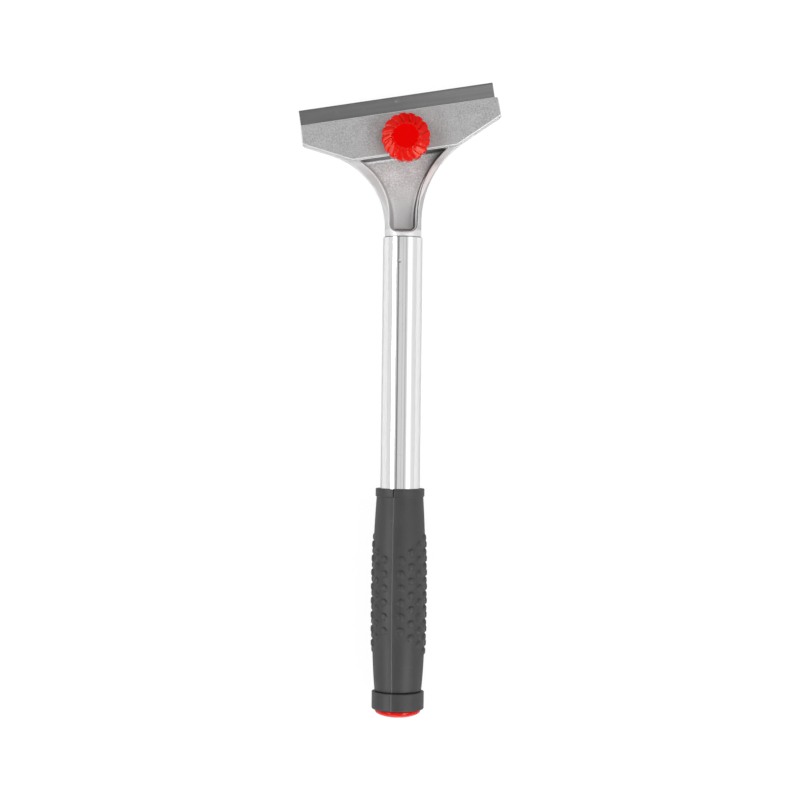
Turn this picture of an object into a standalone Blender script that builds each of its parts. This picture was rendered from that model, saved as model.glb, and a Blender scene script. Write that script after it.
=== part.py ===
"""Long-handle glass scraper: a die-cast head that clamps a blade, a steel tube and a rubber grip.

All lengths are metres. Two frames are used. The handle frame has its origin on the tube's
axis where the head's own frame starts, +Y towards the blade and +Z out of the front. The
head frame is turned from it by the head's skew and bend: u runs along the blade, w towards
the cutting edge and n out of the front, with n = 0 on the face that the blade lies on.
"""

import math

import bmesh
import bpy
from mathutils import Matrix, Vector

# Clearances and fineness that every piece shares
GAP = 0.0003
OVERRUN = 0.003
ROUND_SEGMENTS = 48
HOLE_SEGMENTS = 24

# Head: how it stands on the handle, and where its middle, screw and blade lie
HEAD_SKEW = math.radians(9.0)
HEAD_BEND = math.radians(2.0)
HEAD_MIDDLE = -0.0005
SCREW_FROM_MIDDLE = 0.00135
SCREW_DOWN = 0.0010
BLADE_FROM_MIDDLE = -0.00065

# Blade: a standard replaceable blade and how far it stands out of the clamp
BLADE_LENGTH = 0.1000
BLADE_WIDTH = 0.0180
BLADE_THICKNESS = 0.0009
BLADE_SHOWN = 0.0082
BLADE_EDGE = 0.0001
BLADE_GRIND = 0.0008

# Clamp plate: a six-sided outline with its long side along the blade
PLATE_TOP = 0.0139
PLATE_SHOULDER = 0.00435
PLATE_HALF = 0.0512
PLATE_END_LEAN = 0.0004
PLATE_HEEL = 0.0073
PLATE_HEEL_HALF = 0.02685
PLATE_THICKNESS = 0.0032
PLATE_CORNER = 0.0012
PLATE_EDGE_ROUND = 0.0006
PEG_RADIUS = 0.0015
PEG_LENGTH = 0.0042
PEG_FROM_SCREW = 0.0085

# Head casting: its plate, the pockets in its back and the screw's boss between them
CAST_DEPTH = 0.0080
CAST_MARGIN = 0.0003
CAST_DRAFT = math.radians(4.0)
CAST_EDGE = 0.0006
CAST_CORNER_STEPS = 3
BOSS_HALF = 0.0120
BACK_RIM = 0.0030
BACK_WEB = 0.0032
BACK_CORNER = 0.0018

# Neck of the casting, from the collar at the tube to the flat of the head
NECK_STEP = 0.0007
NECK_LEFT_RADIUS = 0.0400
NECK_RIGHT_RADIUS = 0.0520
NECK_ROOT = 0.0115
NECK_STATIONS = 12
NECK_EDGE_FADE = 3
SECTION_CORNER_STEPS = 6
ROUNDEST_SHARE = 0.97
COLLAR_LENGTH = 0.0026
PLUG_LENGTH = 0.0250
PLUG_CHAMFER = 0.0008

# Recess in the neck's front, measured on its floor
RECESS_WEB = 0.0029
RECESS_DRAFT = math.radians(8.0)
RECESS_FOOT = 0.0045
RECESS_FOOT_RIM = 0.0043
RECESS_FOOT_CORNER = 0.0015
RECESS_HEAD_RIM = 0.0060
RECESS_HEAD_GAP = 0.00095
RECESS_SHIFT = 0.0013
RECESS_FLARE = 0.0360
RECESS_STEPS = 7

# Screw, washer and knob: a metric screw with its six-sided head pressed into the knob
SCREW_RADIUS = 0.0030
SCREW_TIP_COVER = 0.0010
SCREW_FLATS = 0.0100
SCREW_HEAD_HEIGHT = 0.0040
SCREW_CHAMFER = 0.0006
WASHER_RADIUS = 0.0080
WASHER_THICKNESS = 0.0010
KNOB_RADIUS = 0.0123
KNOB_BASE_ROUND = 0.0006
KNOB_SKIRT = 0.0069
KNOB_SLOPE = 0.0028
KNOB_SHOULDER_RADIUS = 0.0083
KNOB_SHOULDER_DROP = 0.0006
KNOB_FACE_RADIUS = 0.0061
KNOB_SKIRT_GROOVE = 0.0005
KNOB_GROOVE = 0.0011
KNOB_GROOVE_SHARE = 0.16
KNOB_CROWN_SHARE = 0.25
KNOB_LOBES = 16
KNOB_SLOPE_STEPS = 3
KNOB_TWIST = math.radians(-11.0)

# Tube and the dent that holds it on the casting's plug
TUBE_RADIUS = 0.0100
TUBE_WALL = 0.0008
TUBE_START = 0.0508
TUBE_SHOWN = 0.1272
TUBE_INSET = 0.0012
TUBE_LIP = 0.0002
DENT_FROM_END = 0.0123
DENT_RADIUS = 0.0016
DENT_DEPTH = 0.0005

# Grip: a barrel-shaped sleeve with a front flange, an end collar and rows of bumps
GRIP_LENGTH = 0.1118
GRIP_WAIST = 0.00185
GRIP_SWELL = 0.00165
GRIP_BELLY_SHARE = 0.484
GRIP_BARREL_STEPS = 14
FLANGE_RISE = 0.00055
FLANGE_LENGTH = 0.0041
COLLAR_RISE = 0.0014
GRIP_COLLAR = 0.0090
GRIP_EDGE = 0.0008
BUMP_RADIUS = 0.0020
BUMP_HEIGHT = 0.00085
BUMP_SINK = 0.0004
BUMP_PITCH = 0.00715
BUMP_MIDDLE_SHARE = 0.477
BUMPS_IN_LONGEST = 9
COLUMNS_PER_SIDE = 7
SEAM_TURN = math.radians(15.0)
SEAM_CLEAR = math.radians(19.0)

# End cap: a dome with a hollow spigot in the tube's end
CAP_RADIUS = 0.0116
CAP_HEIGHT = 0.0043
CAP_RIM = 0.0005
CAP_DOME_STEPS = 7
CAP_SPIGOT = 0.0140
CAP_SPIGOT_CHAMFER = 0.0003
CAP_WALL = 0.0015

# Sizes that follow from the ones above
CLEAR_HOLE = SCREW_RADIUS + GAP
PLATE_TOP_HALF = PLATE_HALF - PLATE_END_LEAN
LEDGE = GAP + BLADE_THICKNESS
PLATE_UNDERSIDE = LEDGE + GAP
PLATE_FACE = PLATE_UNDERSIDE + PLATE_THICKNESS
WASHER_BASE = PLATE_FACE + GAP
KNOB_BASE = WASHER_BASE + WASHER_THICKNESS + GAP
BLADE_TIP = PLATE_TOP + BLADE_SHOWN
BLADE_REAR = BLADE_TIP - BLADE_WIDTH
SCREW_AXIS = (HEAD_MIDDLE + SCREW_FROM_MIDDLE, -SCREW_DOWN)
COLLAR_RADIUS = TUBE_RADIUS - NECK_STEP
COLLAR_END = -TUBE_START + GAP
TUBE_BORE = TUBE_RADIUS - TUBE_WALL
PLUG_RADIUS = TUBE_BORE - GAP
GRIP_BORE = TUBE_RADIUS + GAP
GRIP_FRONT = -TUBE_START - TUBE_SHOWN
GRIP_REAR = GRIP_FRONT - GRIP_LENGTH
TUBE_END = GRIP_REAR + TUBE_INSET
WAIST_RADIUS = TUBE_RADIUS + GRIP_WAIST
AXIS_HEIGHT = WAIST_RADIUS + GRIP_SWELL + BUMP_HEIGHT
SEAT_DROP = AXIS_HEIGHT - CAST_DEPTH * math.cos(HEAD_BEND) - PLATE_TOP * math.sin(HEAD_BEND)

HEAD_TURN = Matrix.Rotation(HEAD_SKEW, 4, "Z") @ Matrix.Rotation(-HEAD_BEND, 4, "X")
HEAD_FRAME = Matrix.Translation((0, 0, -SEAT_DROP)) @ HEAD_TURN
SCREW_FRAME = Matrix.Translation((*SCREW_AXIS, 0))


# Meshes and objects


def lofted(rings):
    """A closed solid through rings of equally many points, with flat ends."""
    mesh = bmesh.new()
    rows = [[mesh.verts.new(point) for point in ring] for ring in rings]
    for low, high in zip(rows, rows[1:]):
        for this, after in zip(range(len(low)), [*range(1, len(low)), 0]):
            mesh.faces.new((low[this], low[after], high[after], high[this]))
    mesh.faces.new(rows[0])
    mesh.faces.new(rows[-1])
    bmesh.ops.recalc_face_normals(mesh, faces=mesh.faces)
    return mesh


def at_height(outline, height):
    return [Vector((*point, height)) for point in outline]


def prism(outline, low, high, growth=0.0):
    """A solid between two heights; its upper outline stands out by the growth."""
    return lofted([at_height(outline, low), at_height(offset(outline, growth), high)])


def turned(profile, segments=ROUND_SEGMENTS):
    """A solid turned about Y from (radius, y) points, a closed ring where none is on the axis."""
    mesh = bmesh.new()
    verts = [mesh.verts.new((radius, along, 0)) for radius, along in profile]
    edges = [mesh.edges.new(pair) for pair in zip(verts, verts[1:])]
    if min(radius for radius, along in profile) > 0:
        edges.append(mesh.edges.new((verts[-1], verts[0])))
    whole_turn = {"cent": (0, 0, 0), "axis": (0, 1, 0), "angle": math.tau}
    bmesh.ops.spin(mesh, geom=verts + edges, steps=segments, use_merge=True, **whole_turn)
    bmesh.ops.remove_doubles(mesh, verts=mesh.verts, dist=GAP / segments)
    bmesh.ops.recalc_face_normals(mesh, faces=mesh.faces)
    return mesh


def circle(radius, middle=(0, 0), segments=HOLE_SEGMENTS):
    turns = [math.tau * step / segments for step in range(segments)]
    return [(middle[0] + radius * math.cos(turn), middle[1] + radius * math.sin(turn)) for turn in turns]


def neighbours(outline):
    """Each point of a closed outline with the one before and the one after it."""
    return zip([outline[-1], *outline], outline, [*outline[1:], outline[0]])


def offset(outline, amount):
    """The outline, given anticlockwise, moved outward by this amount."""
    moved = []
    for before, point, after in neighbours(outline):
        into = (Vector(point) - Vector(before)).normalized()
        out = (Vector(after) - Vector(point)).normalized()
        outward = Vector((into.y + out.y, -into.x - out.x))
        moved.append(tuple(Vector(point) + outward * (2 * amount / outward.length_squared)))
    return moved


def arc_in_corner(before, corner, after, radius, steps):
    """Points of the arc that rounds this corner, from its side of before to its side of after."""
    into = (Vector(before) - Vector(corner)).normalized()
    out = (Vector(after) - Vector(corner)).normalized()
    half = into.angle(out) / 2
    middle = Vector(corner) + (into + out).normalized() * (radius / math.sin(half))
    start = Vector(corner) + into * (radius / math.tan(half)) - middle
    sweep = math.copysign(math.pi - 2 * half, out.cross(into))
    turns = [sweep * step / steps for step in range(steps + 1)]
    return [tuple(middle + Matrix.Rotation(turn, 2) @ start) for turn in turns]


def rounded(corners, radius, steps=3):
    """A closed outline with every corner rounded."""
    points = []
    for before, corner, after in neighbours(corners):
        points.extend(arc_in_corner(before, corner, after, radius, steps))
    return points


def material(name, colour, roughness, metallic):
    made = bpy.data.materials.new(name)
    made.use_nodes = True
    shader = made.node_tree.nodes["Principled BSDF"]
    shader.inputs["Base Color"].default_value = (*colour, 1.0)
    shader.inputs["Roughness"].default_value = roughness
    shader.inputs["Metallic"].default_value = metallic
    return made


def frame(name, matrix, parent=None):
    made = bpy.data.objects.new(name, None)
    bpy.context.collection.objects.link(made)
    made.parent = parent
    made.matrix_local = matrix
    return made


def place(name, mesh, finish, parent):
    """Turns a mesh that is still being edited into a named object."""
    data = bpy.data.meshes.new(name)
    mesh.to_mesh(data)
    mesh.free()
    data.materials.append(finish)
    made = bpy.data.objects.new(name, data)
    bpy.context.collection.objects.link(made)
    made.parent = parent
    return made


def combine(body, operation, mesh, matrix=None):
    """Joins a shape to the body, or cuts it out, both in the frame that holds the body."""
    if matrix is not None:
        mesh.transform(matrix)
    tool = place(f"{body.name}_tool", mesh, body.data.materials[0], body.parent)
    step = body.modifiers.new(operation.title(), "BOOLEAN")
    step.operation = operation
    step.solver = "EXACT"
    step.object = tool
    evaluated = body.evaluated_get(bpy.context.evaluated_depsgraph_get())
    result = bpy.data.meshes.new_from_object(evaluated)
    body.modifiers.remove(step)
    spent = (body.data, tool.data)
    body.data = result
    bpy.data.objects.remove(tool)
    for data in spent:
        bpy.data.meshes.remove(data)


def join(body, mesh, matrix=None):
    combine(body, "UNION", mesh, matrix)


def cut(body, mesh, matrix=None):
    combine(body, "DIFFERENCE", mesh, matrix)


def shade(body, sharp_above=math.radians(35)):
    body.data.shade_smooth()
    body.data.set_sharp_from_angle(angle=sharp_above)
    return body


# Outlines that the plate and the casting share


def plate_corners(grown=0.0):
    """The six-sided outline in u and w, anticlockwise from the left end of the heel."""
    corners = [
        (-PLATE_HEEL_HALF, -PLATE_HEEL),
        (PLATE_HEEL_HALF, -PLATE_HEEL),
        (PLATE_HALF, PLATE_SHOULDER),
        (PLATE_TOP_HALF, PLATE_TOP),
        (-PLATE_TOP_HALF, PLATE_TOP),
        (-PLATE_HALF, PLATE_SHOULDER),
    ]
    return [(HEAD_MIDDLE + u, w) for u, w in offset(corners, grown)]


def in_handle(u, w):
    """Where a point of the head lies in the handle frame, seen from the front."""
    return (HEAD_FRAME @ Vector((u, w, 0))).to_2d()


def head_height(point, level):
    """Height in the handle frame of the head's plane at this level of n, over a point in x and y."""
    normal = HEAD_TURN @ Vector((0, 0, 1))
    return -SEAT_DROP + (level - normal.x * point[0] - normal.y * point[1]) / normal.z


# Head casting


def neck_share(y):
    """0 where the neck leaves the collar, 1 where it meets the flat of the head, and beyond."""
    start = COLLAR_END + COLLAR_LENGTH
    return (y - start) / (-NECK_ROOT - start)


def neck_back(y):
    """Height of the flat back of the neck, which slopes from the collar to the head."""
    at_root = head_height((0, -NECK_ROOT), -CAST_DEPTH)
    return -COLLAR_RADIUS + (at_root + COLLAR_RADIUS) * neck_share(y)


def casting_section(left, right, shrink=0.0):
    """One ring of the casting between its left and right outline points: a rounded oblong."""
    left = Vector(left)
    right = Vector(right)
    share = min(1.0, max(0.0, neck_share((left.y + right.y) / 2)))
    eased = share * share * (3 - 2 * share)
    fronts = [head_height(end, LEDGE - shrink) for end in (left, right)]
    fronts = [front * eased + COLLAR_RADIUS * (1 - eased) for front in fronts]
    backs = [head_height(end, shrink - CAST_DEPTH) for end in (left, right)]
    backs = [back * share - COLLAR_RADIUS * (1 - share) for back in backs]
    half = (right - left).length / 2
    tall = (sum(fronts) - sum(backs)) / 4
    level = (sum(fronts) + sum(backs)) / 4
    lean = (sum(fronts) + sum(backs)) / 4 - (fronts[0] + backs[0]) / 2
    largest = min(half, tall) * ROUNDEST_SHARE
    edge = CAST_EDGE + (largest - CAST_EDGE) * (1 - share) ** NECK_EDGE_FADE
    ring = []
    for side, lift, start in ((1, -1, -90), (1, 1, 0), (-1, 1, 90), (-1, -1, 180)):
        for step in range(SECTION_CORNER_STEPS + 1):
            turn = math.radians(start + 90 * step / SECTION_CORNER_STEPS)
            height = lift * (tall - edge) + edge * math.sin(turn)
            across = side * (half - edge) + edge * math.cos(turn)
            across -= side * share * math.tan(CAST_DRAFT) * (tall - height)
            flat = left.lerp(right, (across / half + 1) / 2)
            ring.append(Vector((flat.x, flat.y, level + height + lean * across / half)))
    return ring


def neck_side(side, radius):
    """The neck's outline on one side, from the collar to the slanted edge of the head."""
    corners = plate_corners(CAST_MARGIN)
    shoulder, heel = (corners[2], corners[1]) if side > 0 else (corners[5], corners[0])
    shoulder = in_handle(*shoulder)
    heel = in_handle(*heel)
    collar = side * COLLAR_RADIUS
    meeting = heel.lerp(shoulder, (collar - heel.x) / (shoulder.x - heel.x))
    return arc_in_corner((collar, COLLAR_END), meeting, shoulder, radius, NECK_STATIONS)


def casting_body():
    """Collar, neck and head in one loft, from the tube's end to the side where the blade stands out."""
    straight = [COLLAR_END, COLLAR_END + COLLAR_LENGTH]
    rings = [casting_section((-COLLAR_RADIUS, y), (COLLAR_RADIUS, y)) for y in straight]
    sides = zip(neck_side(-1, NECK_LEFT_RADIUS), neck_side(1, NECK_RIGHT_RADIUS))
    rings += [casting_section(left, right) for left, right in sides]
    corners = plate_corners(CAST_MARGIN)
    rings.append(casting_section(in_handle(*corners[5]), in_handle(*corners[2])))
    for step in range(CAST_CORNER_STEPS + 1):
        turn = math.radians(90 * step / CAST_CORNER_STEPS)
        pull = PLATE_CORNER * (1 - math.cos(turn))
        w = corners[3][1] - PLATE_CORNER * (1 - math.sin(turn))
        ends = (in_handle(corners[4][0] + pull, w), in_handle(corners[3][0] - pull, w))
        rings.append(casting_section(*ends, shrink=CAST_EDGE * (1 - math.cos(turn))))
    return lofted(rings)


def recess():
    """The drafted hollow in the neck's front: straight at its foot, flared to its corners at the head."""
    foot = COLLAR_END + RECESS_FOOT
    half = COLLAR_RADIUS - RECESS_FOOT_RIM
    outline = []
    for side in (-1, 1):
        u = HEAD_MIDDLE - RECESS_SHIFT + side * (PLATE_HEEL_HALF - RECESS_HEAD_RIM)
        corner = in_handle(u, -PLATE_HEEL - RECESS_HEAD_GAP)
        spread = abs(corner.x) - half
        start = corner.y - math.sqrt(RECESS_FLARE**2 - (RECESS_FLARE - spread) ** 2)
        full = math.acos(1 - spread / RECESS_FLARE)
        arc = []
        for step in range(RECESS_STEPS + 1):
            turn = full * step / RECESS_STEPS
            bulge = RECESS_FLARE * (1 - math.cos(turn))
            arc.append((side * (half + bulge), start + RECESS_FLARE * math.sin(turn)))
        end = (side * half, foot)
        rounding = arc_in_corner((0, foot), end, (end[0], start), RECESS_FOOT_CORNER, CAST_CORNER_STEPS)
        run = rounding + arc
        outline += reversed(run) if side < 0 else run
    height = 2 * COLLAR_RADIUS
    grown = offset(outline, height * math.tan(RECESS_DRAFT))
    floor = [Vector((x, y, neck_back(y) + RECESS_WEB)) for x, y in outline]
    mouth = [Vector((x, y, neck_back(y) + RECESS_WEB + height)) for x, y in grown]
    return lofted([floor, mouth])


def back_pockets():
    """The two pockets in the head's back, on either side of the screw's boss."""
    inner = offset(plate_corners(), -BACK_RIM)
    heel = inner[0][1]
    top = inner[3][1]
    left = SCREW_AXIS[0] - BOSS_HALF
    right = SCREW_AXIS[0] + BOSS_HALF
    outlines = (
        [inner[0], (left, heel), (left, top), inner[4], inner[5]],
        [(right, heel), inner[1], inner[2], inner[3], (right, top)],
    )
    low = -CAST_DEPTH - OVERRUN
    narrowing = (-BACK_WEB - low) * math.tan(CAST_DRAFT)
    return [prism(rounded(outline, BACK_CORNER), low, -BACK_WEB, -narrowing) for outline in outlines]


def peg_places():
    return [(SCREW_AXIS[0] + side * PEG_FROM_SCREW, SCREW_AXIS[1]) for side in (-1, 1)]


def build_casting(finish, handle):
    body = place("head_casting", casting_body(), finish, handle)
    plug_end = COLLAR_END - PLUG_LENGTH
    plug = [
        (0, COLLAR_END + COLLAR_LENGTH / 2),
        (PLUG_RADIUS, COLLAR_END + COLLAR_LENGTH / 2),
        (PLUG_RADIUS, plug_end + PLUG_CHAMFER),
        (PLUG_RADIUS - PLUG_CHAMFER, plug_end),
        (0, plug_end),
    ]
    join(body, turned(plug))
    cut(body, recess())
    side = max(PLATE_HALF, BLADE_LENGTH / 2) + CAST_MARGIN + OVERRUN
    rear = BLADE_REAR - GAP
    front = PLATE_TOP + OVERRUN
    seat = [(-side, rear), (side, rear), (side, front), (-side, front)]
    cut(body, prism(seat, 0, LEDGE + OVERRUN), HEAD_FRAME)
    for pocket in back_pockets():
        cut(body, pocket, HEAD_FRAME)
    cut(body, prism(circle(CLEAR_HOLE, SCREW_AXIS), -CAST_DEPTH - OVERRUN, LEDGE + OVERRUN), HEAD_FRAME)
    peg_floor = PLATE_UNDERSIDE - PEG_LENGTH - GAP
    for middle in peg_places():
        cut(body, prism(circle(PEG_RADIUS + GAP, middle), peg_floor, LEDGE + OVERRUN), HEAD_FRAME)
    dent = (0, COLLAR_END - GAP - DENT_FROM_END)
    hollow = prism(circle(DENT_RADIUS), PLUG_RADIUS - DENT_DEPTH - GAP, PLUG_RADIUS + OVERRUN)
    cut(body, hollow, Matrix.Translation((*dent, 0)))
    return shade(body)


# Blade and clamp


def build_blade(finish, head):
    """A flat blade, ground on both faces to its cutting edge."""
    low = GAP
    high = GAP + BLADE_THICKNESS
    middle = (low + high) / 2
    section = [
        (BLADE_REAR, low),
        (BLADE_TIP - BLADE_GRIND, low),
        (BLADE_TIP, middle - BLADE_EDGE / 2),
        (BLADE_TIP, middle + BLADE_EDGE / 2),
        (BLADE_TIP - BLADE_GRIND, high),
        (BLADE_REAR, high),
    ]
    ends = [HEAD_MIDDLE + BLADE_FROM_MIDDLE + side * BLADE_LENGTH / 2 for side in (-1, 1)]
    mesh = lofted([[Vector((u, w, n)) for w, n in section] for u in ends])
    return place("blade", mesh, finish, head)


def build_plate(finish, head):
    """The plate that clamps the blade, with two pegs that keep it from turning with the knob."""
    outline = rounded(plate_corners(), PLATE_CORNER)
    rings = [at_height(outline, PLATE_UNDERSIDE)]
    for step in range(CAST_CORNER_STEPS + 1):
        turn = math.radians(90 * step / CAST_CORNER_STEPS)
        inset = PLATE_EDGE_ROUND * (1 - math.cos(turn))
        rings.append(at_height(offset(outline, -inset), PLATE_FACE - PLATE_EDGE_ROUND * (1 - math.sin(turn))))
    body = place("clamp_plate", lofted(rings), finish, head)
    peg_tip = PLATE_UNDERSIDE - PEG_LENGTH
    peg_root = PLATE_UNDERSIDE + PLATE_THICKNESS / 2
    for middle in peg_places():
        join(body, prism(circle(PEG_RADIUS, middle), peg_tip, peg_root))
    cut(body, prism(circle(CLEAR_HOLE, SCREW_AXIS), PLATE_UNDERSIDE - OVERRUN, PLATE_FACE + OVERRUN))
    return shade(body)


def build_washer(finish, screw):
    top = WASHER_BASE + WASHER_THICKNESS
    rim = circle(WASHER_RADIUS, segments=ROUND_SEGMENTS)
    body = place("knob_washer", prism(rim, WASHER_BASE, top), finish, screw)
    cut(body, prism(circle(CLEAR_HOLE), WASHER_BASE - OVERRUN, top + OVERRUN))
    return shade(body)


def hexagon(flats):
    return circle(flats / 2 / math.cos(math.radians(30)), segments=6)


def build_screw(finish, screw):
    """Six-sided head in the knob and a shank through washer, plate and casting."""
    tip = SCREW_TIP_COVER - CAST_DEPTH
    rings = [
        at_height(circle(SCREW_RADIUS - SCREW_CHAMFER), tip),
        at_height(circle(SCREW_RADIUS), tip + SCREW_CHAMFER),
        at_height(circle(SCREW_RADIUS), KNOB_BASE + SCREW_HEAD_HEIGHT / 2),
    ]
    body = place("clamp_screw", lofted(rings), finish, screw)
    join(body, prism(hexagon(SCREW_FLATS), KNOB_BASE, KNOB_BASE + SCREW_HEAD_HEIGHT))
    return shade(body)


def knob_ring(radius, height, groove, turn):
    """One ring of the knob: broad lobes with a narrow groove between each two."""
    along_shares = (0, KNOB_GROOVE_SHARE, 1 / 2, 1 - KNOB_GROOVE_SHARE)
    depth_shares = (1, KNOB_CROWN_SHARE, 0, KNOB_CROWN_SHARE)
    ring = []
    for lobe in range(KNOB_LOBES):
        for along_share, depth_share in zip(along_shares, depth_shares):
            reach = radius - groove * depth_share
            angle = math.tau * (lobe + along_share - 1 / 2) / KNOB_LOBES + turn
            ring.append(Vector((reach * math.cos(angle), reach * math.sin(angle), height)))
    return ring


def build_knob(finish, screw):
    """A knob with twisted grooves that run out below its smooth face."""
    skirt_top = KNOB_BASE + KNOB_SKIRT
    face = skirt_top + KNOB_SLOPE
    shoulder = face - KNOB_SHOULDER_DROP
    rings = [
        knob_ring(KNOB_RADIUS - KNOB_BASE_ROUND, KNOB_BASE, KNOB_SKIRT_GROOVE, 0),
        knob_ring(KNOB_RADIUS, KNOB_BASE + KNOB_BASE_ROUND, KNOB_SKIRT_GROOVE, 0),
    ]
    for step in range(KNOB_SLOPE_STEPS + 1):
        share = step / KNOB_SLOPE_STEPS
        radius = KNOB_RADIUS + (KNOB_SHOULDER_RADIUS - KNOB_RADIUS) * share
        height = skirt_top + (shoulder - skirt_top) * share
        groove = KNOB_SKIRT_GROOVE + (KNOB_GROOVE - KNOB_SKIRT_GROOVE) * share
        rings.append(knob_ring(radius, height, groove, KNOB_TWIST * share))
    rings.append(knob_ring(KNOB_FACE_RADIUS, face, 0, KNOB_TWIST))
    body = place("clamp_knob", lofted(rings), finish, screw)
    cut(body, prism(hexagon(SCREW_FLATS + 2 * GAP), KNOB_BASE - OVERRUN, KNOB_BASE + SCREW_HEAD_HEIGHT + GAP))
    return shade(body)


# Handle


def ball(radius, middle):
    mesh = bmesh.new()
    bmesh.ops.create_uvsphere(mesh, u_segments=16, v_segments=12, radius=radius)
    mesh.transform(Matrix.Translation(middle))
    return mesh


def build_tube(finish, handle):
    """The steel tube, dented into the casting's plug near its front end."""
    start = -TUBE_START
    profile = [
        (TUBE_BORE, start),
        (TUBE_RADIUS - TUBE_LIP, start),
        (TUBE_RADIUS, start - TUBE_LIP),
        (TUBE_RADIUS, TUBE_END + TUBE_LIP),
        (TUBE_RADIUS - TUBE_LIP, TUBE_END),
        (TUBE_BORE, TUBE_END),
    ]
    body = place("handle_tube", turned(profile), finish, handle)
    centre = (0, start - DENT_FROM_END, TUBE_RADIUS + DENT_RADIUS - DENT_DEPTH)
    swelling = place("swelling", ball(DENT_RADIUS + TUBE_WALL, centre), finish, handle)
    middle_of_wall = TUBE_RADIUS - TUBE_WALL / 2
    inside = turned([(0, start), (middle_of_wall, start), (middle_of_wall, TUBE_END), (0, TUBE_END)])
    combine(swelling, "INTERSECT", inside)
    bulge = bmesh.new()
    bulge.from_mesh(swelling.data)
    bpy.data.meshes.remove(swelling.data)
    join(body, bulge)
    cut(body, ball(DENT_RADIUS, centre))
    return shade(body)


def barrel_radius(along):
    """Radius of the grip's barrel at this distance behind its front flange."""
    share = along / (GRIP_LENGTH - FLANGE_LENGTH - GRIP_COLLAR)
    if share < GRIP_BELLY_SHARE:
        fall = (1 - share / GRIP_BELLY_SHARE) ** 2
    else:
        fall = ((share - GRIP_BELLY_SHARE) / (1 - GRIP_BELLY_SHARE)) ** 3
    return WAIST_RADIUS + GRIP_SWELL * (1 - fall)


def grip_profile():
    """The sleeve's section from the front end of its bore round to the rear end."""
    flange = WAIST_RADIUS + FLANGE_RISE
    collar = WAIST_RADIUS + COLLAR_RISE
    collar_front = GRIP_REAR + GRIP_COLLAR
    barrel = GRIP_LENGTH - FLANGE_LENGTH - GRIP_COLLAR
    profile = [
        (GRIP_BORE, GRIP_FRONT),
        (flange - GRIP_EDGE, GRIP_FRONT),
        (flange, GRIP_FRONT - GRIP_EDGE),
        (flange, GRIP_FRONT - FLANGE_LENGTH + FLANGE_RISE),
    ]
    for step in range(GRIP_BARREL_STEPS + 1):
        along = barrel * step / GRIP_BARREL_STEPS
        profile.append((barrel_radius(along), GRIP_FRONT - FLANGE_LENGTH - along))
    profile += [
        (collar - GRIP_EDGE / 2, collar_front),
        (collar, collar_front - GRIP_EDGE / 2),
        (collar, GRIP_REAR + GRIP_EDGE),
        (collar - GRIP_EDGE, GRIP_REAR),
        (GRIP_BORE, GRIP_REAR),
    ]
    return profile


def bumps():
    """Low domes in columns on both sides of the seam, each column half a step off its neighbours."""
    mesh = bmesh.new()
    column_step = (math.pi - 2 * SEAM_CLEAR) / (COLUMNS_PER_SIDE - 1)
    middle_column = (COLUMNS_PER_SIDE - 1) // 2
    middle = GRIP_LENGTH * BUMP_MIDDLE_SHARE
    squash = Matrix.Diagonal((BUMP_RADIUS, BUMP_RADIUS, BUMP_HEIGHT + BUMP_SINK, 1))
    for side in (-1, 1):
        for column in range(COLUMNS_PER_SIDE):
            count = BUMPS_IN_LONGEST - abs(column - middle_column)
            turn = Matrix.Rotation(-SEAM_TURN + side * (SEAM_CLEAR + column * column_step), 4, "Y")
            for row in range(count):
                along = middle + BUMP_PITCH * (row - (count - 1) / 2)
                seat = barrel_radius(along - FLANGE_LENGTH) - BUMP_SINK
                dome = turn @ Matrix.Translation((0, GRIP_FRONT - along, seat)) @ squash
                bmesh.ops.create_uvsphere(mesh, u_segments=8, v_segments=4, radius=1, matrix=dome)
    return mesh


def build_grip(finish, handle):
    body = place("grip", turned(grip_profile()), finish, handle)
    join(body, bumps())
    return shade(body)


def build_cap(finish, handle):
    """Domed end cap; its hollow spigot sits in the tube."""
    seat = GRIP_REAR - GAP
    spigot = TUBE_BORE - GAP
    spigot_end = seat + CAP_SPIGOT
    bore_end = seat + CAP_WALL
    dome_start = seat - CAP_RIM
    profile = [
        (0, bore_end),
        (spigot - CAP_WALL, bore_end),
        (spigot - CAP_WALL, spigot_end),
        (spigot - CAP_SPIGOT_CHAMFER, spigot_end),
        (spigot, spigot_end - CAP_SPIGOT_CHAMFER),
        (spigot, seat),
        (CAP_RADIUS, seat),
    ]
    for step in range(CAP_DOME_STEPS + 1):
        turn = math.radians(90 * step / CAP_DOME_STEPS)
        drop = (CAP_HEIGHT - GAP - CAP_RIM) * math.sin(turn)
        radius = CAP_RADIUS * math.cos(turn) if step < CAP_DOME_STEPS else 0
        profile.append((radius, dome_start - drop))
    return shade(place("end_cap", turned(profile), finish, handle))


def stand_on_table(root):
    """Moves the whole tool so that the middle of its underside's bounding box is the origin."""
    bpy.context.view_layer.update()
    bodies = [body for body in bpy.data.objects if body.type == "MESH"]
    corners = [body.matrix_world @ vertex.co for body in bodies for vertex in body.data.vertices]
    low = Vector(min(corner[axis] for corner in corners) for axis in range(3))
    high = Vector(max(corner[axis] for corner in corners) for axis in range(3))
    middle = (low + high) / 2
    root.location -= Vector((middle.x, middle.y, low.z))


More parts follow.
